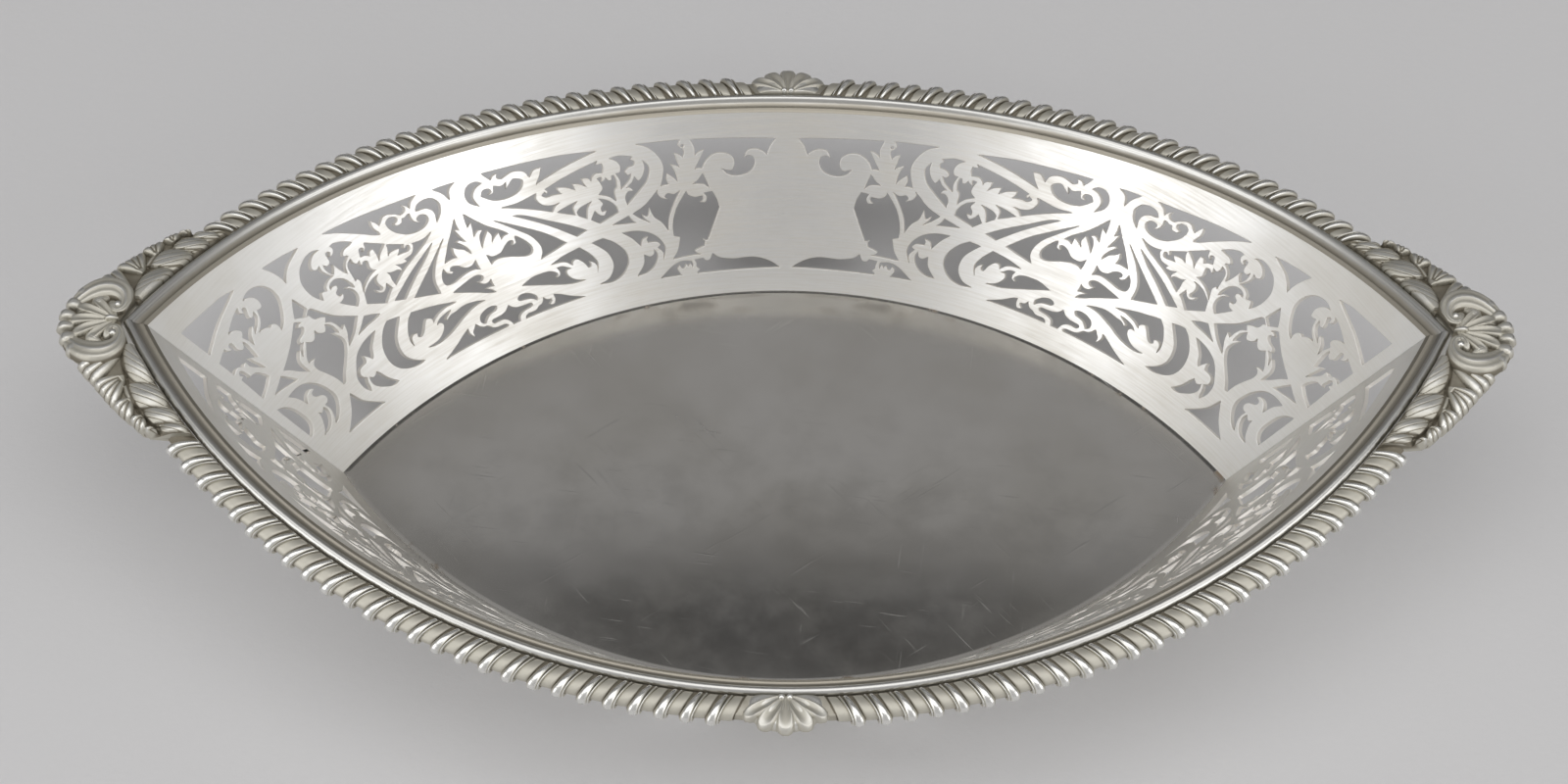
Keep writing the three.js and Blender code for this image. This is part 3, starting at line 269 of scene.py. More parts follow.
    [(147.2, 40.3, 148, 40.4, 148.7, 40.1), (148, 41.8, 147.1, 43.1, 146, 44.15, 144.9, 44.65, 143.8, 44.7,
     142.8, 44.1), (143.8, 43.95, 144.6, 43.5, 144.6, 42.5, 143.9, 42), (144, 41.2, 144.9, 40.6), (145.4,
     41.3), (145.3, 40.4, 144.8, 39.9, 143.3, 39.8), (145.5, 38.55, 148.8, 36.6), (148.7, 38.2, 148.2,
     39.5)],
    [(150.7, 51.55, 148, 53, 146.3, 53.85, 143.9, 54.6), (144.5, 53.5, 144.2, 52.5, 143.8, 52.3), (143.6,
     53.3, 143.1, 53.6, 142.6, 53.1, 143, 52, 143.6, 50.6, 143.4, 49.8, 142.6, 50.1, 141.8, 50.9), (142.1,
     49, 143.3, 47.7, 146, 46.1), (145.2, 47.1, 144.9, 48.2), (146.6, 46.95, 147.4, 45.8, 148.3, 44.1),
     (148.35, 45.8, 148.9, 48), (148, 48.8, 147.8, 49.5, 148.3, 50.6, 149.4, 51.3)],
    [(141.7, 54.9, 140.6, 55.5, 139.2, 55.8, 137.8, 55.6, 136.4, 54.9, 135.3, 53.8, 134.6, 52.4, 134.3,
     50.8, 134.5, 48.8, 135.3, 46.9, 136.8, 44.6, 138.5, 42.7, 140.3, 41.6), (139.95, 42.8, 140.1, 44,
     140.9, 44.7, 141.8, 44.3), (142.4, 45, 143.5, 45.5, 144.9, 45.6), (143.3, 46.6, 141.9, 48, 141.3, 49.3,
     140.9, 50.4), (140.3, 50.05, 139.4, 50.2, 139, 51, 138.8, 52.2, 139.3, 53.7, 140.3, 54.6)],
    [(155.4, 30.4, 152.7, 31.5, 150, 32.8), (148.4, 30.3, 147.4, 28.6), (149, 28.9, 152, 29.7)],
    [(153.3, 27.1, 151.9, 27.3, 150.3, 27.3, 148.9, 27.1, 147.5, 26.6, 146, 25.6, 144.8, 24.1, 144, 22.5,
     143.5, 20.5, 143.3, 18.4, 143.8, 16.8, 145, 15.1, 146.8, 13.4, 148.8, 12.2, 150.1, 11.9), (148.8, 13.5,
     147.9, 15.1, 147.6, 16.5, 147.8, 18), (146.7, 18.1, 145.9, 18.8, 145.7, 19.7, 146.3, 20.7, 147.7, 21.4,
     148.2, 22.3, 147.7, 23.1, 146.5, 23.4), (147, 24.1, 148.1, 24.1, 149.3, 23.6, 150.3, 22.7, 151.2,
     21.5), (151.4, 23.2, 152, 25.2)],
    [(151.1, 17.8, 150.5, 16.9, 149.7, 17.1, 148.7, 17.9), (148.4, 16.6, 148.8, 15.3, 149.8, 13.9, 151.1,
     12.8, 152.8, 12, 155.4, 11.7), (153.8, 12.9, 152.4, 14.7, 151.4, 16.5)],
    [(158.4, 27.2, 157, 26.4, 155.8, 25.2, 155, 23.5, 154.7, 21.5, 154.6, 19, 155.1, 17, 156.3, 15.4, 158.5,
     14.2), ()],
    [(149.6, 7.1, 147.5, 8.4, 145.5, 9.8, 143.8, 11.2, 142.2, 12.9, 140, 15.5), (139.4, 13.4, 138.6, 11.3,
     136.6, 9.1, 134, 6.9), ()],
]

# The small round eye beside the flower next to the shield: middle and radius
EYE_MIDDLE = (25.2, 41.85)
EYE_RADIUS = 0.4


class Half(Enum):
    """The two halves of the basket, by the turn about Z that places the one drawn at the back."""

    BACK = 0.0
    FRONT = math.pi


class Hand(Enum):
    """Left or right of the middle, seen from inside the basket by someone facing that half."""

    LEFT = -1
    RIGHT = 1


@dataclass(frozen=True)
class BodySizes:
    """Driving sizes of the body, in millimetres."""

    rim_half_length: float = 160.0
    rim_half_width: float = 95.4
    rim_fullness: float = 1.12
    rim_height_middle: float = 43.4
    rim_height_tip: float = 59.7
    rim_rise_power: float = 1.9
    floor_half_length: float = 112.8
    floor_half_width: float = 63.3
    floor_fullness: float = 0.86
    floor_thickness: float = 1.2
    cove_width: float = 5.0
    cove_drop: float = 1.6
    border_width: float = 7.3
    drawn_half_length: float = 161.6
    drawn_height_middle: float = 48.8
    drawn_height_gain: float = 21.7
    drawn_height_power: float = 1.47


@dataclass(frozen=True)
class Placement:
    """Where one copy of a casting goes: its origin, and columns for along, outwards and up."""

    point: Array
    axes: Array


class BasketForm:
    """Says where every point of the rim, the floor's edge and the side panels lies."""

    TABLE_STEPS = 4000

    def __init__(self, sizes: BodySizes) -> None:
        """Lay out the length tables of the panel and of the border.

        Args:
            sizes: Driving sizes of the body.
        """
        self.sizes = sizes
        t = np.linspace(-1.0, 1.0, self.TABLE_STEPS + 1)
        middle = (self.panel_foot(t) + self.panel_head(t)) / 2
        self.panel_t = t
        self.panel_lengths = self._lengths(middle)
        self.border_lengths = self._lengths(self.rim(t, sizes.border_width / 2, 0.0))

    @staticmethod
    def _lengths(points: Array) -> Array:
        """Length along a line of points, counted from its middle."""
        steps = np.linalg.norm(np.diff(points, axis=0), axis=1)
        lengths = np.concatenate([[0.0], np.cumsum(steps)])
        return lengths - lengths[-1] / 2

    @staticmethod
    def bow(half_length: Array, half_width: Array, fullness: float, t: Array) -> tuple[Array, Array]:
        """A bow from tip to tip: an arc made fuller or leaner against a parabola.

        Args:
            half_length: Half of the bow's length.
            half_width: Height of the bow over its chord.
            fullness: One for a plain arc, less for a leaner bow.
            t: Place along the bow, from -1 to 1.

        Returns:
            The x and y of each place.
        """
        radius = (half_length**2 + half_width**2) / (2 * half_width)
        half_angle = np.arcsin(half_length / radius)
        x = radius * np.sin(t * half_angle)
        arc = radius * np.cos(t * half_angle) - (radius - half_width)
        parabola = half_width * (1 - (x / half_length) ** 2)
        return x, fullness * arc + (1 - fullness) * parabola

    @staticmethod
    def tip_spread(half_length: float, half_width: float) -> float:
        """How much farther a mitred tip moves than the sides when a bow is offset outwards."""
        return (half_length**2 + half_width**2) / (2 * half_width) / half_length

    def rim(self, t: Array, out: Array, up: Array) -> Array:
        """Points beside the rim.

        Args:
            t: Place along the rim, from -1 at the left tip to 1.
            out: Distance outside the rim wire's outer edge.
            up: Height over the rim line.

        Returns:
            One row of x, y, z for each place.
        """
        s = self.sizes
        t, out, up = np.broadcast_arrays(np.asarray(t, float), out, up)
        spread = self.tip_spread(s.rim_half_length, s.rim_half_width)
        half_length = s.rim_half_length + spread * out
        x, y = self.bow(half_length, s.rim_half_width + out, s.rim_fullness, t)
        rise = (s.rim_height_tip - s.rim_height_middle) * np.abs(x / half_length) ** s.rim_rise_power
        return np.stack([x, y, s.rim_height_middle + rise + up], axis=-1)

    def floor_edge(self, t: Array, out: Array, z: Array) -> Array:
        """Points along the floor's edge, at a distance outside it and at a height."""
        s = self.sizes
        t, out, z = np.broadcast_arrays(np.asarray(t, float), out, z)
        spread = self.tip_spread(s.floor_half_length, s.floor_half_width)
        half_length = s.floor_half_length + spread * out
        x, y = self.bow(half_length, s.floor_half_width + out, s.floor_fullness, t)
        return np.stack([x, y, z], axis=-1)

    def panel_foot(self, t: Array) -> Array:
        """Lower edge of the panel's inner face."""
        return self.floor_edge(t, 0.0, self.sizes.floor_thickness)

    def panel_head(self, t: Array) -> Array:
        """Upper edge of the panel's inner face, in the cove under the wire."""
        return self.rim(t, -self.sizes.cove_width, -self.sizes.cove_drop)

    def drawn_height(self, t: Array) -> Array:
        """Height of the flat drawing of the fretwork at a place along the panel."""
        s = self.sizes
        return s.drawn_height_middle + s.drawn_height_gain * np.abs(t) ** s.drawn_height_power

    def t_along_panel(self, s: Array) -> Array:
        """Place along the panel for a length along the flat drawing."""
        stretch = self.panel_lengths[-1] / self.sizes.drawn_half_length
        return np.interp(np.asarray(s) * stretch, self.panel_lengths, self.panel_t)

    def t_along_border(self, s: Array) -> Array:
        """Place along the rim for a length along the middle of the cast border."""
        return np.interp(s, self.border_lengths, self.panel_t)

    def rim_frame(self, s: float) -> Placement:
        """The wire's outer edge at a length along the border, from the middle."""
        t = float(self.t_along_border(s))
        points = self.rim(np.array([t - T_STEP, t, t + T_STEP]), 0.0, 0.0)
        along = points[2] - points[0]
        along /= np.linalg.norm(along)
        outwards = np.array([-along[1], along[0], 0.0])
        outwards /= np.linalg.norm(outwards)
        return Placement(points[1], np.stack([along, outwards, np.cross(along, outwards)], axis=1))


class Parts:
    """Gathers closed shapes into one mesh, with a crest value and a flat place for each point."""

    def __init__(self) -> None:
        """Start with nothing."""
        self.points: list[Array] = []
        self.faces: list[tuple[int, ...]] = []
        self.crest: list[Array] = []
        self.count = 0

    def add(self, points: Array, faces: Sequence[Sequence[int]], crest: Array | float = 1.0) -> None:
        """Add one shape.

        Args:
            points: One row of x, y, z in millimetres for each vertex.
            faces: Vertex numbers of each face.
            crest: How high on the relief each vertex lies, from 0 in a hollow to 1 on a crest.
        """
        self.points.append(np.asarray(points, float))
        self.faces.extend(tuple(self.count + i for i in face) for face in faces)
        self.crest.append(np.broadcast_to(np.asarray(crest, float), (len(points),)))
        self.count += len(points)

    def grid(self, points: Array, crest: Array | float = 1.0, around: bool = False) -> None:
        """Add a grid of points whose second direction may close on itself.

        Args:
            points: Array of rows by columns by three.
            crest: Relief value for each point, or one for all.
            around: Whether the last column joins the first, with both end rings filled.
        """
        rows, columns = points.shape[:2]
        faces: list[tuple[int, ...]] = []
        for i in range(rows - 1):
            here, beyond = i * columns, (i + 1) * columns
            for j in range(columns if around else columns - 1):
                k = (j + 1) % columns
                faces.append((here + j, here + k, beyond + k, beyond + j))
        if around:
            faces.append(tuple(range(columns - 1, -1, -1)))
            faces.append(tuple((rows - 1) * columns + j for j in range(columns)))
        values = np.broadcast_to(np.asarray(crest, float), (rows, columns)).reshape(-1)
        self.add(points.reshape(-1, 3), faces, values)

    def mesh(self, name: str, smooth_angle: float | None = 40.0) -> bpy.types.Mesh:
        """Make the mesh, in metres, with normals outwards.

        Args:
            name: Name of the mesh.
            smooth_angle: Edges sharper than this many degrees stay crisp. None leaves faces flat.

        Returns:
            The finished mesh.
        """
        made = bpy.data.meshes.new(name)
        points = np.concatenate(self.points) * MM
        made.from_pydata(points.tolist(), [], self.faces)
        attribute = made.attributes.new("crest", "FLOAT", "POINT")
        attribute.data.foreach_set("value", np.concatenate(self.crest).astype(np.float32))
        tidy_normals(made)
        if smooth_angle is not None:
            made.shade_smooth()
            made.set_sharp_from_angle(angle=math.radians(smooth_angle))
        return made


def tidy_normals(mesh: bpy.types.Mesh) -> None:
    """Merge doubled points and turn every face of the closed shapes outwards."""
    work = bmesh.new()
    work.from_mesh(mesh)
    bmesh.ops.remove_doubles(work, verts=work.verts, dist=WELD)
    bmesh.ops.recalc_face_normals(work, faces=work.faces)
    work.to_mesh(mesh)
    work.free()


def link(name: str, mesh: bpy.types.Mesh) -> bpy.types.Object:
    """Put a mesh in the scene as an object at the origin."""
    made = bpy.data.objects.new(name, mesh)
    bpy.context.scene.collection.objects.link(made)
    return made


def blend(u: Array, v: Array, low: float, high: float, t: float) -> Array:
    """Point at t between two points that stand at low and high."""
    return ((high - t) * u + (t - low) * v) / (high - low)


def smooth_run(points: Array, step: float) -> Array:
    """Sample a centripetal spline through points, without its last point.

    Args:
        points: Corner points of the run, two columns or more.
        step: Wanted distance between samples.

    Returns:
        The samples, from the first point on.
    """
    if len(points) == 2:
        count = max(1, int(round(np.linalg.norm(points[1] - points[0]) / (3 * step))))
        share = np.arange(count)[:, None] / count
        return points[0] + share * (points[1] - points[0])
    whole = np.vstack([2 * points[0] - points[1], points, 2 * points[-1] - points[-2]])
    samples = []
    for a, b, c, d in zip(whole[:-3], whole[1:-2], whole[2:-1], whole[3:]):
        gaps = [max(SNAP, np.linalg.norm(v - u) ** 0.5) for u, v in ((a, b), (b, c), (c, d))]
        k = np.cumsum([0.0] + gaps)
        count = max(2, int(round(np.linalg.norm(c - b) / step)))
        for t in np.linspace(k[1], k[2], count, endpoint=False):
            e, f, g = blend(a, b, k[0], k[1], t), blend(b, c, k[1], k[2], t), blend(c, d, k[2], k[3], t)
            samples.append(blend(blend(e, f, k[0], k[2], t), blend(f, g, k[1], k[3], t), k[1], k[2], t))
    return np.array(samples)


def opening_outline(runs: Outline, step: float) -> Array:
    """Sample the closed outline of one opening.

    Args:
        runs: The runs as FRETWORK holds them.
        step: Wanted distance between samples.

    Returns:
        The outline's points, two columns.
    """
    turns = [np.array(run, float).reshape(-1, 2) for run in runs]
    turns[-1] = np.vstack([turns[-1], turns[0][:1]])
    starts = [turns[0][:0]] + [turn[-1:] for turn in turns[:-1]]
    return np.vstack([smooth_run(np.vstack(pair), step) for pair in zip(starts, turns)])


class Signal:
    """A number in a node tree, which plain arithmetic turns into Math nodes."""

    def __init__(self, graph: "NodeGraph", socket: bpy.types.NodeSocket) -> None:
        """Wrap an output socket.

        Args:
            graph: The graph that the socket is in.
            socket: The output.
        """
        self.graph = graph
        self.socket = socket

    def _math(self, operation: str, *values: "Signal | float") -> "Signal":
        """Add a Math node.

        Args:
            operation: What it does.
            values: Its inputs, in order.

        Returns:
            The node's output.
        """
        return self.graph.signal(
            self.graph.node("ShaderNodeMath", {"operation": operation}, dict(enumerate(values)))
        )

    def __add__(self, other: "Signal | float") -> "Signal":
        """Sum."""
        return self._math("ADD", self, other)

    __radd__ = __add__

    def __sub__(self, other: "Signal | float") -> "Signal":
        """Difference."""
        return self._math("SUBTRACT", self, other)

    def __rsub__(self, other: float) -> "Signal":
        """Difference from a number."""
        return self._math("SUBTRACT", other, self)

    def __mul__(self, other: "Signal | float") -> "Signal":
        """Product."""
        return self._math("MULTIPLY", self, other)

    __rmul__ = __mul__

    def between(self, low: float, high: float) -> "Signal":
        """Share of the way from low to high, kept from 0 to 1.

        Args:
            low: Value that gives 0.
            high: Value that gives 1.

        Returns:
            The share, eased at both ends.
        """
        values = {"From Min": low, "From Max": high, "Value": self}
        node = self.graph.node("ShaderNodeMapRange", {"interpolation_type": "SMOOTHSTEP"}, values)
        return self.graph.signal(node, "Result")


class NodeGraph:
    """A node tree under construction."""

    def __init__(self, tree: bpy.types.NodeTree) -> None:
        """Start with an empty tree."""
        self.tree = tree
        tree.nodes.clear()

    def node(self, kind: str, settings: dict | None = None, values: dict | None = None) -> bpy.types.Node:
        """Add a node.

        Args:
            kind: The node's type.
            settings: Properties, set first.
            values: Values or links of its input sockets.

        Returns:
            The new node.
        """
        node = self.tree.nodes.new(kind)
        for name, value in (settings or {}).items():
            setattr(node, name, value)
        for key, value in (values or {}).items():
            value = value.socket if isinstance(value, Signal) else value
            if isinstance(value, bpy.types.NodeSocket):
                self.tree.links.new(value, node.inputs[key])
            else:
                node.inputs[key].default_value = value
        return node

    def signal(self, node: bpy.types.Node, output: str | int = 0) -> Signal:
        """One output of a node as a signal."""
        return Signal(self, node.outputs[output])


class CastingRepeater(NodeGraph):
    """Sets copies of one casting on marked points, by one Geometry Nodes tree."""

    INPUTS = {
        "Points": "NodeSocketGeometry",
        "Casting": "NodeSocketObject",
        "Finish": "NodeSocketMaterial",
        "Size spread": "NodeSocketFloat",
        "Seed": "NodeSocketInt",
    }

    def __init__(self) -> None:
        """Build the tree and its named inputs."""
        super().__init__(bpy.data.node_groups.new("Repeat a casting", "GeometryNodeTree"))
        face = self.tree.interface
        for name, kind in self.INPUTS.items():
            face.new_socket(name, in_out="INPUT", socket_type=kind)
        face.new_socket("Castings", in_out="OUTPUT", socket_type="NodeSocketGeometry")
        start = self.node("NodeGroupInput")
        casting = self.node(
            "GeometryNodeObjectInfo", {"transform_space": "ORIGINAL"}, {"Object": start.outputs["Casting"]}
        )
        turn = self.node("GeometryNodeInputNamedAttribute", {"data_type": "FLOAT_VECTOR"}, {"Name": "turn"})
        rotation = self.node("FunctionNodeEulerToRotation", {}, {"Euler": turn.outputs["Attribute"]})
        spread = self.signal(start, "Size spread")
        size = self.node(
            "FunctionNodeRandomValue",
            {"data_type": "FLOAT"},
            {2: 1.0 - spread, 3: 1.0 + spread, "Seed": start.outputs["Seed"]},
        )
        copies = self.node(
            "GeometryNodeInstanceOnPoints",
            {},
            {
                "Points": start.outputs["Points"],
                "Instance": casting.outputs["Geometry"],
                "Rotation": rotation.outputs["Rotation"],
                "Scale": size.outputs[1],
            },
        )
        real = self.node("GeometryNodeRealizeInstances", {}, {"Geometry": copies.outputs["Instances"]})
        dressed = self.node(
            "GeometryNodeSetMaterial",
            {},
            {"Geometry": real.outputs["Geometry"], "Material": start.outputs["Finish"]},
        )
        self.node("NodeGroupOutput", {}, {"Castings": dressed.outputs["Geometry"]})

    def place(
        self,
        name: str,
        casting: Parts,
        placements: Sequence[Placement],
        finish: bpy.types.Material,
        spread: float,
        seed: int,
        smooth_angle: float,
    ) -> bpy.types.Mesh:
        """Copy a casting to its places and return the result as a plain mesh.

        Args:
            name: Name of the result.
            casting: The shape that is repeated, drawn about its own root.
            placements: Where the copies go, in millimetres.
            finish: Material of the copies.
            spread: How much the copies vary in size, as a share.
            seed: Seed of that variation.
            smooth_angle: Edges sharper than this many degrees stay crisp.

        Returns:
            The mesh, in metres.
        """
        pattern = link(name + "_pattern", casting.mesh(name + "_pattern", smooth_angle))
        marks = bpy.data.meshes.new(name)
        marks.from_pydata([tuple(p.point * MM) for p in placements], [], [])
        turn = marks.attributes.new("turn", "FLOAT_VECTOR", "POINT")
        for i, p in enumerate(placements):
            turn.data[i].vector = Matrix(p.axes.tolist()).to_euler("XYZ")
        carrier = link(name + "_carrier", marks)
        modifier = carrier.modifiers.new("Repeat", "NODES")
        modifier.node_group = self.tree
        values = {"Casting": pattern, "Finish": finish, "Size spread": spread, "Seed": seed}
        for item in self.tree.interface.items_tree:
            if item.name in values:
                modifier[item.identifier] = values[item.name]
        graph = bpy.context.evaluated_depsgraph_get()
        made = bpy.data.meshes.new_from_object(carrier.evaluated_get(graph), depsgraph=graph)
        carrier.modifiers.remove(modifier)
        for helper in (carrier, pattern):
            bpy.data.objects.remove(helper)
        if "turn" in made.attributes:
            made.attributes.remove(made.attributes["turn"])
        return made


def joined(name: str, meshes: Sequence[bpy.types.Mesh], finish: bpy.types.Material) -> bpy.types.Mesh:
    """Put several meshes into one, which keeps their crest values and their crisp edges.

    Args:
        name: Name of the result.
        meshes: The meshes, in metres.
        finish: Material of the result.

    Returns:
        The joined mesh.
    """
    work = bmesh.new()
    for mesh in meshes:
        work.from_mesh(mesh)
    for face in work.faces:
        face.material_index = 0
    made = bpy.data.meshes.new(name)
    work.to_mesh(made)
    work.free()
    made.materials.clear()
    made.materials.append(finish)
    return made


@dataclass(frozen=True)
class Lobe:
    """One lobe of a cast relief, in millimetres, in a plan of x and y.

    It runs from its root in the direction that its turn gives, in degrees anticlockwise from the
    plan's y direction.
    """

    x: float = 0.0
    y: float = 0.0
    turn: float = 0.0
    length: float = 1.0
    half_width: float = 1.0
    height: float = 1.0
    base: float = 0.0
    lift: float = 0.4
    droop: float = 0.7
    fullest: float = 0.6
    root_share: float = 0.32
    bend: float = 0.0
    dish: float = 0.0
    veins: int = 0
    vein_depth: float = 0.14


class Relief:
    """A cast surface over a plan: the highest of its bed and of all that is laid on it."""

    # How rubbed the bed is
    BED_CREST = 0.08
    # How square a lobe's section is, and the least share of its width that it keeps at its end
    CROWN_POWER, LEAST_SWELL = 2.4, 0.03
    # Share of a lobe's half width that its dish and its veins reach, a vein's width, and the share of
    # the lobe's length over which it begins
    INNER, VEIN_WIDTH, VEIN_EASE = 0.7, 0.1, 0.2
    # Half width at which a bar's grooves have their full depth, the least share of it that they keep,
    # and the share of the bar's width that is grooved
    BAR_FULL, BAR_LEAST, BAR_GROOVED = 2.0, 0.2, 0.97
    # How rubbed a knob is round its foot
    KNOB_CREST = 0.3
    # Part of half a wave that lifts a lobe along its length
    LIFT_TURN = 0.72
    # Shares of its height and of its crest value that a lobe keeps where it is narrow
    NARROW_HEIGHT, NARROW_CREST = 0.35, 0.4
    # How much darker the surface is in a vein, a dish, between a bar's ridges and in a groove
    VEIN_DARK, DISH_DARK, RIDGE_DARK, GROOVE_DARK = 0.55, 0.8, 0.5, 1.2

    def __init__(self, x: Array, y: Array, bed: Array) -> None:
        """Start with the bed.

        Args:
            x: First plan coordinate of each point.
            y: Second plan coordinate of each point.
            bed: Height of the bed at each point.
        """
        self.x, self.y = x, y
        self.height = bed.copy()
        self.crest = np.full(bed.shape, self.BED_CREST)
        self.covered = np.zeros(bed.shape, bool)

    def _lay(self, inside: Array, height: Array, crest: Array) -> None:
        """Raise the surface to a shape where that is higher."""
        self.covered |= inside
        over = inside & (height > self.height)
        self.height = np.where(over, height, self.height)
        self.crest = np.where(over, np.clip(crest, 0.0, 1.0), self.crest)

    def _gaps(self, line: Array) -> Array:
        """Distance of every point of the plan from every point of a line."""
        return np.hypot(self.x[..., None] - line[:, 0], self.y[..., None] - line[:, 1])

    def lobe(self, lobe: Lobe) -> None:
        """Lay one lobe on the surface."""
        a = math.radians(lobe.turn)
        dx, dy = self.x - lobe.x, self.y - lobe.y
        along = (-math.sin(a) * dx + math.cos(a) * dy) / lobe.length
        u = np.clip(along, 0.0, 1.0)
        v = math.cos(a) * dx + math.sin(a) * dy - lobe.bend * lobe.length * np.sin(np.pi / 2 * u) ** 2
        rest = np.clip((u - lobe.fullest) / (1 - lobe.fullest), 0.0, 1.0)
        grown = np.sin(np.pi / 2 * np.clip(u / lobe.fullest, 0, 1))
        growing = lobe.root_share + (1 - lobe.root_share) * grown
        swell = np.maximum(np.where(u < lobe.fullest, growing, np.sqrt(1 - rest**2)), self.LEAST_SWELL)
        q = v / (lobe.half_width * swell)
        inside = (along >= 0) & (along <= 1) & (np.abs(q) < 1)
        q = np.clip(q, -1.0, 1.0)
        crown = np.sqrt(1 - np.abs(q) ** self.CROWN_POWER)
        hollow = lobe.dish * np.clip(1 - (q / self.INNER) ** 2, 0.0, 1.0) * np.sin(np.pi * u)
        veins = np.zeros(q.shape)
        for number in range(lobe.veins):
            middle = self.INNER * (2 * (number + 1) / (lobe.veins + 1) - 1)
            veins += np.exp(-(((q - middle) / self.VEIN_WIDTH) ** 2)) * np.clip(u / self.VEIN_EASE, 0, 1)
        rise = lobe.base + lobe.lift * np.sin(np.pi * self.LIFT_TURN * u) - lobe.droop * u**3
        tall, bright = (least + (1 - least) * swell for least in (self.NARROW_HEIGHT, self.NARROW_CREST))
        height = rise + lobe.height * crown * tall - hollow - lobe.vein_depth * veins
        self._lay(inside, height, crown * bright - self.VEIN_DARK * veins - self.DISH_DARK * hollow)

    def bar(self, line: Array, flatten: float, ridges: int, depth: float) -> None:
        """Lay a ridged bar that follows a line.

        Args:
            line: One row of x, y, height and half width for each step.
            flatten: Height of its section as a share of the half width.
            ridges: Number of ridges along it.
            depth: Depth of the grooves between them, in millimetres.
        """
        gap = self._gaps(line)
        nearest = np.argmin(gap / line[:, 3], axis=-1)
        distance = np.take_along_axis(gap, nearest[..., None], axis=-1)[..., 0]
        tangent = np.gradient(line[:, :2], axis=0)[nearest]
        offset = np.stack([self.x, self.y], axis=-1) - line[nearest, :2]
        side = np.sign(tangent[..., 0] * offset[..., 1] - tangent[..., 1] * offset[..., 0])
        half_width = line[nearest, 3]
        q = np.clip(side * distance / half_width, -1.0, 1.0)
        crown = np.sqrt(1 - q**2)
        groove = 0.5 + 0.5 * np.cos(np.pi * ridges * (q + 1))
        share = np.clip(half_width / self.BAR_FULL, self.BAR_LEAST, 1.0)
        deep = depth * share * groove * (np.abs(q) < self.BAR_GROOVED)
        height = line[nearest, 2] + flatten * half_width * crown - deep
        self._lay(distance < half_width, height, crown - self.RIDGE_DARK * groove)

    def knob(self, x: float, y: float, radius: float, base: float, height: float) -> None:
        """Lay a round knob on the surface."""
        share = np.hypot(self.x - x, self.y - y) / radius
        dome = np.sqrt(np.clip(1 - share**2, 0.0, 1.0))
        self._lay(share < 1, base + height * dome, self.KNOB_CREST + dome)

    def groove(self, line: Array, half_width: float, depth: float) -> None:
        """Cut a dark line into the surface along a run of points."""
        cut = np.exp(-((self._gaps(line).min(axis=-1) / half_width) ** 2))
        self.height = self.height - depth * cut
        self.crest = np.clip(self.crest - self.GROOVE_DARK * cut, 0.0, 1.0)

    def reach(self, least: float) -> Array:
        """How far out, in y, the surface is covered on each line of the plan, softened a little."""
        last = self.covered.shape[1] - 1 - np.argmax(self.covered[:, ::-1], axis=1)
        found = self.y[np.arange(len(last)), last]
        out = np.maximum(np.where(self.covered.any(axis=1), found, least), least)
        padded = np.concatenate([out[:1], out, out[-1:]])
        return 0.25 * padded[:-2] + 0.5 * out + 0.25 * padded[2:]


class Piece:
    """What every sub-assembly shares: its name, the nodes it stands for and its finish."""

    def __init__(self, form: BasketForm, finish: "Finish") -> None:
        """Keep the form and the finish.

        Args:
            form: Where the rim, floor and panels lie.
            finish: The material, ready made, with its slot.
        """
        self.form = form
        self.finish = finish

    def settle(self, name: str, mesh: bpy.types.Mesh, node: str) -> None:
        """Put a finished mesh in the scene in place of its CAD node.

        Args:
            name: Name of the visual piece.
            mesh: Its mesh, in metres and in place.
            node: The CAD node that it stands for.
        """
        mesh.name = name
        if not mesh.materials:
            mesh.materials.append(self.finish.material)
        made = link(name, mesh)
        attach(made, "root")
        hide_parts(node)
        log.info("%s: %d faces", name, len(mesh.polygons))


def turned(mesh: bpy.types.Mesh, half: Half) -> bpy.types.Mesh:
    """Move a mesh that was drawn at the back to its half of the basket."""
    mesh.transform(Matrix.Translation((0.0, HALF_SEAM * MM, 0.0)))
    mesh.transform(Matrix.Rotation(half.value, 4, "Z"))
    return mesh


def side_name(half: Half, hand: Hand) -> str:
    """Name of a quarter of the border, such as front_left."""
    right = (hand is Hand.RIGHT) == (half is Half.BACK)
    return f"{half.name.lower()}_{'right' if right else 'left'}"


@dataclass(frozen=True)
class FloorSizes:
    """Sizes of the floor plate, in millimetres."""

    edge_out: float = 1.3
    edge_bulge: float = 0.12
    edge_low: float = 0.15
    fillet: float = 1.2
    fillet_rise: float = 0.1
    fillet_power: float = 2.2
    fillet_steps: int = 8
    # Share of the fillet's rise that is left at the plate's edge
    fillet_end: float = 0.2
    # Width of the dull band beside the wall
    seam_width: float = 14.0
    steps: int = 160
    seam_steps: int = 400
    # Edges sharper than this, in degrees, stay crisp
    crisp: float = 35.0


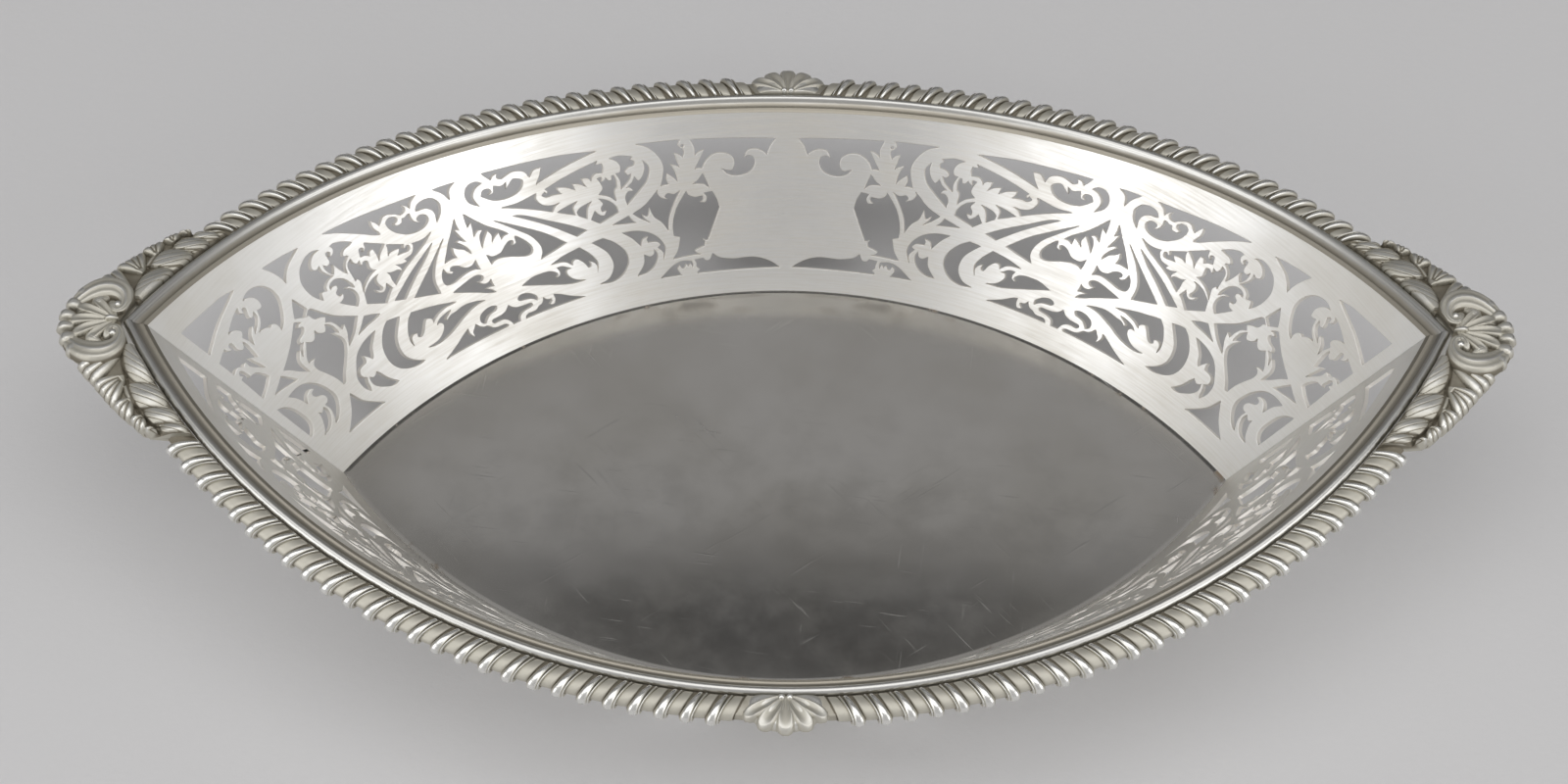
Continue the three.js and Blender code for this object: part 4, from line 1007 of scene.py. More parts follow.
class FloorPlate(Piece):
    """The flat plate that the basket stands on, with a soldered fillet round its upper edge."""

    sizes = FloorSizes()
    # Shares of the floor's size at which rings of points lie, on the upper side and underneath
    UPPER = (0.02, 0.12, 0.24, 0.36, 0.48, 0.6, 0.7, 0.8, 0.88, 0.94)
    UNDER = (0.9, 0.6, 0.3, 0.02)

    def build(self) -> None:
        """Model the plate and put it in place."""
        s, form = self.sizes, self.form
        thick = form.sizes.floor_thickness
        t = np.linspace(-1, 1, s.steps + 1)
        edge_rings = [
            (-s.fillet * (1 - k), thick + s.fillet_rise * k**s.fillet_power)
            for k in np.linspace(0, 1, s.fillet_steps)
        ]
        edge_rings += [
            (s.edge_out, thick + s.fillet_rise * s.fillet_end),
            (s.edge_out + s.edge_bulge, s.edge_low),
            (s.edge_out, 0.0),
        ]
        rings = [self._shrunk(t, share, thick) for share in self.UPPER]
        rings += [form.floor_edge(t, out, z) for out, z in edge_rings]
        rings += [self._shrunk(t, share, 0.0) for share in self.UNDER]
        closed = [np.vstack([ring, ring[1:-1][::-1] * np.array([1.0, -1.0, 1.0])]) for ring in rings]
        made = Parts()
        made.grid(np.array(closed), 1.0, around=True)
        mesh = made.mesh("floor_plate", s.crisp)
        self._mark_edge(mesh)
        self.settle("floor", mesh, "floor_plate")

    def _shrunk(self, t: Array, share: float, z: float) -> Array:
        """The floor's edge at a share of its size and at a height."""
        return self.form.floor_edge(t, 0.0, z) * np.array([share, share, 1.0])

    def _mark_edge(self, mesh: bpy.types.Mesh) -> None:
        """Store how near the wall each point of the plate lies, from 0 to 1 at the wall."""
        t = np.linspace(-1, 1, self.sizes.seam_steps)
        edge = self.form.floor_edge(t, 0.0, 0.0)[:, :2]
        points = np.array([v.co for v in mesh.vertices]) / MM
        flat = np.stack([points[:, 0], np.abs(points[:, 1])], axis=1)
        near = np.array([np.min(np.hypot(*(edge - p).T)) for p in flat])
        values = np.clip(1 - near / self.sizes.seam_width, 0, 1)
        attribute = mesh.attributes.new("seam", "FLOAT", "POINT")
        attribute.data.foreach_set("value", values.astype(np.float32))


class PanelMesh:
    """Gathers the points of a panel, their places in the drawing, and its faces."""

    def __init__(self) -> None:
        """Start with nothing."""
        self.points: list[Array] = []
        self.flats: list[Array] = []
        self.faces: list[tuple[int, ...]] = []
        self.shades: list[Array] = []
        self.marks: list[float] = []
        self.count = 0

    def add(self, points: Array, flats: Array) -> int:
        """Add vertices with their places in the drawing, and return the first one's number."""
        self.points.append(points)
        self.flats.append(flats)
        self.count += len(points)
        return self.count - len(points)

    def face(self, corners: Sequence[int], shades: Sequence[Array], marks: Sequence[float]) -> None:
        """Add a face.

        Args:
            corners: Numbers of its vertices.
            shades: Shading normal of each corner.
            marks: One for each corner on a sawn edge, zero for the others.
        """
        self.faces.append(tuple(corners))
        self.shades.extend(shades)
        self.marks.extend(marks)

    def strip(self, lines: Sequence[Array]) -> None:
        """Add flat-shaded bands between neighbouring lines of points."""
        for low, high in zip(lines[:-1], lines[1:]):
            first, second = (self.add(line, np.zeros((len(line), 2))) for line in (low, high))
            for i in range(len(low) - 1):
                normal = np.cross(high[i + 1] - low[i], high[i] - low[i + 1])
                length = np.linalg.norm(normal)
                normal = normal / length if length > TINY else np.array([0.0, 0.0, 1.0])
                corners = (first + i, first + i + 1, second + i + 1, second + i)
                self.face(corners, [normal] * 4, [0.0] * 4)

    def merged(self) -> bpy.types.Mesh:
        """Merge doubled points and make the mesh, in metres."""
        points, flats = np.concatenate(self.points), np.concatenate(self.flats)
        _, first, same = np.unique(np.round(points, 4), axis=0, return_index=True, return_inverse=True)
        same = same.reshape(-1)
        faces: list[tuple[int, ...]] = []
        kept: list[int] = []
        origin: list[int] = []
        place = 0
        for face in self.faces:
            joint = tuple(int(same[i]) for i in face)
            corners = [k for k in range(len(face)) if joint[k] != joint[k - 1]]
            if len(corners) >= 3:
                faces.append(tuple(joint[k] for k in corners))
                kept.extend(place + k for k in corners)
                origin.extend(face[k] for k in corners)
            place += len(face)
        made = bpy.data.meshes.new("panel")
        made.from_pydata((points[first] * MM).tolist(), [], faces)
        layer = made.uv_layers.new(name="Drawing")
        layer.data.foreach_set("uv", (flats[origin] * DRAWING_SCALE).astype(np.float32).ravel())
        # Marks the sawn edges, where the panel's finish paints a highlight
        mark = made.attributes.new("cut", "FLOAT", "CORNER")
        mark.data.foreach_set("value", np.array(self.marks)[kept].astype(np.float32))
        made.shade_smooth()
        made.normals_split_custom_set(np.array(self.shades)[kept].tolist())
        return made


@dataclass(frozen=True)
class PanelSizes:
    """Sizes of a side panel, in millimetres."""

    thickness: float = 1.05
    slope: float = math.radians(55.0)
    cut_step: float = 0.5
    edge_round: float = 0.2
    grid: float = 2.6
    # Distance that the points of the grid keep from an outline, as a share of its pitch
    grid_clear: float = 0.45
    drawn_height: float = 56.0
    flange_reach: float = 3.0
    flange_drop: float = 1.5
    flange_thickness: float = 0.9
    # Where the flange's upper and lower face begin, outside the cove's inner edge
    flange_start: float = 0.5
    flange_under_start: float = 1.9


class SidePanel(Piece):
    """A sloping side, saw-pierced with scrolls, leaves and flowers, and turned over at the top."""

    sizes = PanelSizes()
    EYE_SIDES = 12

    def _cuts(self) -> list[Array]:
        """Outlines of every opening of the whole panel, all wound the same way."""
        one_side = [opening_outline(runs, self.sizes.cut_step) for runs in FRETWORK]
        angle = 2 * np.pi * np.arange(self.EYE_SIDES) / self.EYE_SIDES
        one_side.append(EYE_MIDDLE + EYE_RADIUS * np.stack([-np.cos(angle), np.sin(angle)], axis=1))
        cuts = []
        for outline in one_side:
            for sign in (-1.0, 1.0):
                points = outline * np.array([sign, 1.0])
                x, y = points.T
                area = np.sum(x * np.roll(y, -1) - np.roll(x, -1) * y)
                cuts.append(points if area > 0 else points[::-1])
        return cuts

    @staticmethod
    def _widen(outline: Array, by: float) -> Array:
        """Offset an outline into the metal round it."""
        ahead = np.roll(outline, -1, axis=0) - outline
        ahead /= np.maximum(np.linalg.norm(ahead, axis=1, keepdims=True), TINY)
        behind = np.roll(ahead, 1, axis=0)
        normal = np.stack([ahead[:, 1] + behind[:, 1], -ahead[:, 0] - behind[:, 0]], axis=1)
        normal /= np.maximum(np.linalg.norm(normal, axis=1, keepdims=True), SHARP_CORNER)
        return outline + by * normal

    def _place(self, flat: Array, depth: float) -> tuple[Array, Array]:
        """Points of the drawing set on the sloping panel.

        Args:
            flat: Length along and height up the drawing.
            depth: Distance below the inner face.

        Returns:
            The points and the inner face's normals.
        """
        t = self.form.t_along_panel(flat[:, 0])
        return self._at(t, flat[:, 1] / self.form.drawn_height(t), depth)

    def _at(self, t: Array, share: Array, depth: float) -> tuple[Array, Array]:
        """Points of the panel by place along, share of the slope and depth, and the face normals."""
        form, s = self.form, self.sizes
        depth = np.full_like(t, depth)
        out = depth / math.sin(s.slope)
        share = (share - depth / math.tan(s.slope) / form.drawn_height(t))[:, None]

        def row(t_now: Array) -> Array:
            """Points at these places along, each at its own share."""
            foot = form.floor_edge(t_now, out, form.sizes.floor_thickness)
            head = form.rim(t_now, out - form.sizes.cove_width, -form.sizes.cove_drop)
            return foot + share * (head - foot)

        along = row(np.clip(t + T_STEP, -1, 1)) - row(np.clip(t - T_STEP, -1, 1))
        normal = np.cross(form.panel_head(t) - form.panel_foot(t), along)
        normal /= np.linalg.norm(normal, axis=1, keepdims=True)
        normal *= np.where(normal[:, 2:] < 0, -1.0, 1.0)
        return row(t), normal

    def _sheet(self, cuts: list[Array]) -> tuple[Array, list[tuple[int, int, int]]]:
        """Triangulate the sheet round its openings.

        Args:
            cuts: Outlines of the openings.

        Returns:
            The flat points, and the triangles of the metal.
        """
        s, form = self.sizes, self.form
        half = form.sizes.drawn_half_length

        def tall(points: Array) -> Array:
            """Height of the drawing at these points, which is levelled to a rectangle here."""
            return form.drawn_height(form.t_along_panel(points[:, 0]))

        columns, rows = self._cells()
        x = np.linspace(-half, half, columns + 1)
        y = np.linspace(0, s.drawn_height, rows + 1)
        border = [(a, y[0]) for a in x] + [(x[-1], b) for b in y[1:]]
        border += [(a, y[-1]) for a in x[-2::-1]] + [(x[0], b) for b in y[-2:0:-1]]
        points = [np.array(border)]
        edges = [(i, (i + 1) % len(border)) for i in range(len(border))]
        faces = []
        count = len(border)
        for cut in cuts:
            points.append(np.stack([cut[:, 0], cut[:, 1] / tall(cut) * s.drawn_height], axis=1))
            faces.append(list(range(count, count + len(cut))))
            count += len(cut)
        fixed = np.vstack(points)
        cells: dict[tuple[int, int], list[Array]] = {}
        reach = s.grid_clear * s.grid
        for p in fixed:
            cells.setdefault((int(p[0] // reach), int(p[1] // reach)), []).append(p)
        free = []
        for p in np.array([(a, b) for a in x[1:-1] for b in y[1:-1]]):
            i, j = int(p[0] // reach), int(p[1] // reach)
            near = [q for a in (-1, 0, 1) for b in (-1, 0, 1) for q in cells.get((i + a, j + b), [])]
            if not near or min(np.hypot(*(q - p)) for q in near) > reach:
                free.append(p)
        everything = np.vstack([fixed, np.array(free)])
        found = delaunay_2d_cdt([Vector(p) for p in everything], edges, faces, 0, SNAP, True)
        sources = zip(found[0], found[3])
        flat = np.array([everything[source[0]] if source else tuple(p) for p, source in sources])
        triangles = [tuple(face) for face, source in zip(found[2], found[5]) if not source]
        flat[:, 1] *= tall(flat) / s.drawn_height
        return flat, triangles

    def _cells(self) -> tuple[int, int]:
        """Number of columns and rows of the panel's grid."""
        s = self.sizes
        return int(round(2 * self.form.sizes.drawn_half_length / s.grid)), int(round(s.drawn_height / s.grid))

    def mesh(self) -> bpy.types.Mesh:
        """Model the whole back panel as one closed mesh with its own shading normals, in metres."""
        s = self.sizes
        cuts = self._cuts()
        wide = [self._widen(cut, s.edge_round) for cut in cuts]
        made = PanelMesh()
        for outlines, depth, way in ((wide, 0.0, 1.0), (cuts, s.thickness, -1.0)):
            flat, triangles = self._sheet(outlines)
            placed, normal = self._place(flat, depth)
            first = made.add(placed, flat)
            shade = way * normal
            for a, b, c in triangles:
                own = np.cross(placed[b] - placed[a], placed[c] - placed[a])
                corners = (a, b, c) if np.dot(own, shade[a]) > 0 else (a, c, b)
                made.face([first + k for k in corners], [shade[k] for k in corners], [0.0] * 3)
        for cut, rim in zip(cuts, wide):
            self._wall(made, cut, rim)
        self._flange(made)
        return made.merged()

    def _wall(self, made: PanelMesh, cut: Array, rim: Array) -> None:
        """Add the softened edge and the sawn wall of one opening.

        Args:
            made: The panel so far.
            cut: The opening's outline.
            rim: The outline where the softened edge meets the face.
        """
        s = self.sizes
        size = len(cut)
        top, face_normal = self._place(rim, 0.0)
        turn, _ = self._place(cut, s.edge_round)
        low, _ = self._place(cut, s.thickness)
        rings = (top, turn, low)
        first = [made.add(ring, flat) for ring, flat in zip(rings, (rim, cut, cut))]
        toward = top - turn
        toward -= face_normal * np.sum(toward * face_normal, axis=1, keepdims=True)
        wall_normal = -toward / np.maximum(np.linalg.norm(toward, axis=1, keepdims=True), TINY)
        shades = (face_normal, wall_normal, wall_normal)
        for upper in (0, 1):
            for i in range(size):
                k = (i + 1) % size
                quad = [(upper, i), (upper + 1, i), (upper + 1, k), (upper, k)]
                a, b, c = (rings[r][n] for r, n in quad[:3])
                if np.dot(np.cross(b - a, c - a), shades[upper][i] + shades[upper + 1][i]) < 0:
                    quad.reverse()
                corners = [first[r] + n for r, n in quad]
                made.face(corners, [shades[r][n] for r, n in quad], [float(r > 0) for r, _ in quad])

    def _flange(self, made: PanelMesh) -> None:
        """Add the level flange under the border and close the sheet's foot and ends."""
        s, form = self.sizes, self.form
        half = form.sizes.drawn_half_length
        columns, rows = self._cells()
        t = form.t_along_panel(np.linspace(-half, half, columns + 1))
        (inner_head, outer_head), (inner_foot, outer_foot) = (
            [self._at(t, share + 0 * t, depth)[0] for depth in (0.0, s.thickness)] for share in (1.0, 0.0)
        )
        cove, under = -form.sizes.cove_width, -s.flange_drop - s.flange_thickness
        corners = (
            (cove + s.flange_start, -s.flange_drop),
            (s.flange_reach, -s.flange_drop),
            (s.flange_reach, under),
            (cove + s.flange_under_start, under),
        )
        made.strip([inner_head, *(form.rim(t, out, up) for out, up in corners), outer_head])
        made.strip([outer_foot, inner_foot])
        shares = np.linspace(0, 1, rows + 1)
        for end in (-1.0, 1.0):
            sides = [self._at(np.full_like(shares, end), shares, depth)[0] for depth in (0.0, s.thickness)]
            made.strip(sides if end < 0 else sides[::-1])

    def build(self, half: Half) -> None:
        """Model the panel and put it at its half."""
        name = half.name.lower()
        self.settle(f"{name}_pierced_side", turned(self.mesh(), half), f"{name}_side_panel")


class RimWire(Piece):
    """The drawn moulding on the flange: a round wire outside and a reeded cove inside."""

    # Its section: distance outside the wire's outer edge, and height over the rim line
    PROFILE = (
        (-0.05, -1.45),
        (0.0, -0.75),
        (-0.08, -0.2),
        (-0.35, 0.25),
        (-0.75, 0.55),
        (-1.15, 0.66),
        (-1.55, 0.58),
        (-1.9, 0.32),
        (-2.12, -0.05),
        (-2.22, -0.42),
        (-2.5, -0.6),
        (-2.9, -0.86),
        (-3.35, -1.0),
        (-3.75, -1.02),
        (-3.9, -0.9),
        (-4.1, -0.84),
        (-4.3, -0.92),
        (-4.42, -1.12),
        (-4.75, -1.3),
        (-5.05, -1.52),
        (-4.9, -1.62),
        (-2.5, -1.46),
    )
    # Heights between which the surface goes from dull to rubbed
    DULL, RUBBED = -1.1, 0.4
    STEPS = 200
    CRISP = 48.0

    def build(self, half: Half) -> None:
        """Model the moulding from tip to tip and put it at its half."""
        out, up = np.array(self.PROFILE).T
        rows = self.form.rim(np.linspace(-1, 1, self.STEPS + 1)[:, None], out, up)
        crest = np.clip((up - self.DULL) / (self.RUBBED - self.DULL), 0, 1)
        made = Parts()
        made.grid(rows, crest, around=True)
        name = half.name.lower()
        mesh = made.mesh(f"{name}_rim_wire", self.CRISP)
        self.settle(f"{name}_rim_moulding", turned(mesh, half), f"{name}_rim_wire")


@dataclass(frozen=True)
class Ridge:
    """One of the shapes that repeat along the gadroon border, in millimetres.

    Its widths are half widths. Widths and rises are given at the wire and at the border's edge.
    """

    # Place of its root, as a share of the pitch
    shift: float
    width: tuple[float, float]
    rise: tuple[float, float]
    # How square its section is
    power: float
    # How far out it goes, against the strip's own line
    reach: float
    # How rubbed its crown is
    crest: float


@dataclass(frozen=True)
class GadroonSizes:
    """Sizes of the gadroon border, in millimetres."""

    start: float = 8.6
    end: float = 161.8
    count: int = 26
    lean: float = 0.52
    spread: float = 0.015
    line_step: float = 0.33
    lobe_columns: int = 13
    lobe_thickness: float = 0.7
    # How fast a lobe widens, and the shares of its length over which it rises and falls at its ends
    widen_power: float = 1.2
    ease_in: float = 0.08
    ease_out: float = 0.1
    # How far the sides of a lobe dip below its line
    dip: float = 0.25
    bed_steps: int = 90
    # How far the bed goes beyond the lobes at its two ends
    bed_before: float = 0.2
    bed_after: float = 0.6

    @property
    def pitch(self) -> float:
        """Distance between two lobes."""
        return (self.end - self.start) / self.count


class GadroonRun(Piece):
    """A cast strip of slanting lobes outside the wire, each beside a hollow flute."""

    sizes = GadroonSizes()
    FIRST_SEED = 3
    CRISP = 42.0
    # The strip's section: distance outside the wire, and height over the rim line
    LINE = (
        (0.3, -0.75),
        (0.75, -0.3),
        (1.7, 0.0),
        (3.0, 0.12),
        (4.3, -0.06),
        (5.4, -0.55),
        (6.15, -1.3),
        (6.35, -2.1),
        (5.9, -2.75),
        (5.0, -3.0),
    )
    BED = (
        (0.25, -1.4),
        (0.3, -0.8),
        (1.8, -0.35),
        (3.2, -0.3),
        (4.7, -0.9),
        (5.3, -2.0),
        (4.8, -2.9),
        (3.3, -2.9),
        (3.25, -1.4),
    )
    # The bed's points below this height are its underside, which is rubbed this much
    BED_UNDER, BED_CREST = -2.5, 0.3
    # A broad low flute, a polished lobe and the fine ridge beside it
    UNIT = (
        Ridge(0.3, (1.1, 1.8), (0.05, 0.05), 4.0, 0.95, 0.38),
        Ridge(0.79, (0.42, 1.45), (0.35, 1.05), 2.6, 1.02, 1.0),
        Ridge(0.56, (0.2, 0.32), (0.3, 0.75), 2.0, 1.01, 0.9),
    )

    def _unit(self, hand: Hand) -> Parts:
        """Model what repeats, with the wire's outer edge as its origin."""
        made = Parts()
        for ridge in self.UNIT:
            self._lay(made, hand, ridge)
        return made

    def _lay(self, made: Parts, hand: Hand, ridge: Ridge) -> None:
        """Model one closed shape that runs from the wire over the border's edge.

        Args:
            made: The shapes so far.
            hand: Which way it leans.
            ridge: Its sizes.
        """
        s = self.sizes
        line = smooth_run(np.array(self.LINE) * np.array([ridge.reach, 1.0]), s.line_step)
        share = np.linspace(0, 1, len(line))
        tangent = np.gradient(line, axis=0)
        tangent /= np.linalg.norm(tangent, axis=1, keepdims=True)
        over = np.stack([-tangent[:, 1], tangent[:, 0]], axis=1)
        q = np.linspace(-1, 1, s.lobe_columns)
        (narrow, wide), (low, high) = ridge.width, ridge.rise
        swell = np.sin(np.pi / 2 * share)
        width = narrow + (wide - narrow) * swell**s.widen_power
        rise = low + (high - low) * swell
        ease = np.sqrt(np.clip(np.minimum(share / s.ease_in, (1 - share) / s.ease_out), 0.0, 1.0))
        crown = np.sqrt(np.clip(1 - np.abs(q) ** ridge.power, 0, 1))
        lean = s.lean * np.maximum(line[:, 0], 0)
        along = hand.value * (ridge.shift * s.pitch + lean[:, None] + width[:, None] * q)
        lift = rise[:, None] * crown * ease[:, None] - s.dip * (1 - crown)
        top = line[:, None, :] + over[:, None, :] * lift[..., None]
        bottom = line[:, None, :] - over[:, None, :] * s.lobe_thickness + np.zeros((1, 2, 1))
        points = np.concatenate([along[..., None], top], axis=2)
        ends = np.concatenate([along[:, [-1, 0], None], bottom], axis=2)
        crest = ridge.crest * np.clip(crown * ease[:, None], 0, 1)
        made.grid(
            np.concatenate([points, ends], axis=1),
            np.concatenate([crest, np.zeros((len(line), 2))], axis=1),
            around=True,
        )

    def _bed(self, hand: Hand) -> Parts:
        """Model the plain strip under the lobes."""
        s = self.sizes
        along = np.linspace(s.start - s.bed_before, s.end + s.bed_after, s.bed_steps)[:, None]
        out, up = np.array(self.BED).T
        t = self.form.t_along_border(hand.value * (along + s.lean * np.maximum(out, 0.0)))
        made = Parts()
        made.grid(self.form.rim(t, out, up), np.where(up < self.BED_UNDER, self.BED_CREST, 0.0), around=True)
        return made

    def build(self, half: Half, hand: Hand, repeater: CastingRepeater) -> None:
        """Model the strip and put it at its quarter.

        Args:
            half: Back or front.
            hand: Left or right of the middle.
            repeater: Sets the lobes along the rim.
        """
        s = self.sizes
        places = [self.form.rim_frame(hand.value * (s.start + number * s.pitch)) for number in range(s.count)]
        name = side_name(half, hand)
        seed = self.FIRST_SEED + 2 * list(Half).index(half) + list(Hand).index(hand)
        finish = self.finish.material
        lobes = repeater.place(f"{name}_lobes", self._unit(hand), places, finish, s.spread, seed, self.CRISP)
        mesh = joined(f"{name}_gadroons", [lobes, self._bed(hand).mesh("bed")], finish)
        self.settle(f"{name}_gadroons", turned(mesh, half), f"{name}_gadroon_run")


# How rubbed the underside of a casting is, from its outer edge in to the wire
UNDERSIDE = np.array([0.35, 0.35, 0.1, 0.0])
# How rubbed its upper side is against the relief's own values
CASTING_CREST = 0.85
# Edges of a casting sharper than this, in degrees, stay crisp
CASTING_CRISP = 55.0


@dataclass(frozen=True)
class CastingSizes:
    """Sizes of a casting beside the wire, in millimetres."""

    rows: int
    columns: int
    # Distance out that is tried for its outer edge, and the least and greatest that the edge may have
    trial: float
    least: float
    most: float
    # Shares of its width that are rolled down beside the wire and at the edge, and by how much
    inner_roll: float
    outer_roll: float = 0.1
    roll_drop: float = 1.0
    # Distance outside the wire at which its upper side begins
    start: float = 0.3
    # The underside: its height, how far it stays inside the edge, and the step over the flange
    foot: float = -2.5
    foot_inset: float = 0.5
    step_out: float = 3.35
    step_up: float = -1.15
    wire_out: float = 0.35


class Casting(Piece):
    """A relief beside the wire, over a plan of length along the rim and distance outside the wire."""

    sizes: CastingSizes
    TRIAL_STEPS = 200

    def _along(self, out: Array) -> Array:
        """Length along the rim of each row of the plan, at these distances outside the wire."""
        raise NotImplementedError

    def _surface(self, along: Array, out: Array, share: Array) -> Relief:
        """The relief over a plan, where share is the part of the way out to the edge."""
        raise NotImplementedError

    def _crest(self, crest: Array) -> Array:
        """How rubbed the surface is, from the relief's own crest values."""
        raise NotImplementedError

    def _cast(self, name: str, start: float, way: int) -> bpy.types.Mesh:
        """Model the casting as one closed mesh.

        Args:
            name: Name of the mesh.
            start: Length along the border where the plan begins, from the middle.
            way: Direction of the plan along the border, one or minus one.

        Returns:
            The mesh at the back half, in metres.
        """
        s = self.sizes
        blank = np.zeros((s.rows, 1))
        trial = np.linspace(0.0, s.trial, self.TRIAL_STEPS) + blank
        edge = np.clip(self._surface(self._along(trial), trial, 0 * trial).reach(s.least), s.least, s.most)
        share = np.linspace(0.0, 1.0, s.columns)
        out = s.start + (edge[:, None] - s.start) * share
        relief = self._surface(self._along(out), out, share + blank)
        outer = np.clip((share - (1 - s.outer_roll)) / s.outer_roll, 0.0, 1.0)
        inner = np.clip((s.inner_roll - share) / s.inner_roll, 0.0, 1.0)
        foot_out = [edge - s.foot_inset, *(0 * edge + v for v in (s.step_out, s.step_out, s.wire_out))]
        foot_up = np.array([s.foot, s.foot, s.step_up, s.step_up])
        outs = np.concatenate([out, np.stack(foot_out, axis=1)], axis=1)
        ups = np.concatenate([relief.height - s.roll_drop * (outer**2 + inner**2), foot_up + blank], axis=1)
        t = self.form.t_along_border(way * (start + self._along(outs)))
        made = Parts()
        crest = np.concatenate([self._crest(relief.crest), UNDERSIDE + blank], axis=1)
        made.grid(self.form.rim(t, outs, ups), crest, around=True)
        return made.mesh(name, CASTING_CRISP)


class CentreShell(Casting):
    """The scallop at the middle of a long side: dished flutes that spread from a hinge."""

    sizes = CastingSizes(rows=180, columns=64, trial=12.0, least=5.6, most=10.2, inner_roll=0.05)
    # Turn from straight outwards, in degrees, length and half width of each dished flute
    FLUTES = ((0.0, 9.6, 1.95), (33.0, 9.9, 1.95), (59.0, 10.9, 1.75))
    # Turn, length and half width of the flat ribs between them
    RIBS = ((17.0, 8.6, 1.2), (47.0, 9.2, 1.5), (74.0, 9.6, 1.9))
    RIB = Lobe(0.0, 0.35, height=0.6, base=0.1, lift=0.6, droop=1.9, fullest=0.8, root_share=0.12)
    FLUTE = replace(RIB, height=0.9, base=0.25, dish=0.75)
    # One of the two scrolls of the hinge: beside the middle, outside the wire, radius, base and rise
    KNOB = (0.95, 0.95, 0.75, 0.75, 0.55)
    HALF_WIDTH = 8.6
    LEAN = 0.5
    LEAST_CREST = 0.1
    # Height of the bed beside the wire, and how much lower it lies at the edge
    BED, BED_DROP = 0.1, 1.5

    def _along(self, out: Array) -> Array:
        """Length along the rim of each row of the plan, at these distances outside the wire."""
        return np.linspace(-1.0, 1.0, self.sizes.rows)[:, None] * (self.HALF_WIDTH + self.LEAN * out)

    def _surface(self, along: Array, out: Array, share: Array) -> Relief:
        """The relief over a plan of length along the rim and distance outside the wire."""
        relief = Relief(along, out, self.BED - self.BED_DROP * share**2)
        for pattern, fan in ((self.RIB, self.RIBS), (self.FLUTE, self.FLUTES)):
            for degrees, length, half_width in fan:
                for side in (-1, 1) if degrees else (1,):
                    relief.lobe(replace(pattern, turn=side * degrees, length=length, half_width=half_width))
        for side in (-1, 1):
            relief.knob(side * self.KNOB[0], *self.KNOB[1:])
        return relief

    def _crest(self, crest: Array) -> Array:
        """How rubbed the shell is."""
        return np.clip(crest * CASTING_CREST + self.LEAST_CREST, 0.0, 1.0)

    def build(self, half: Half) -> None:
        """Model the shell and put it at its half."""
        name = half.name.lower()
        mesh = self._cast(f"{name}_scallop", 0.0, 1)
        self.settle(f"{name}_scallop", turned(mesh, half), f"{name}_centre_shell")


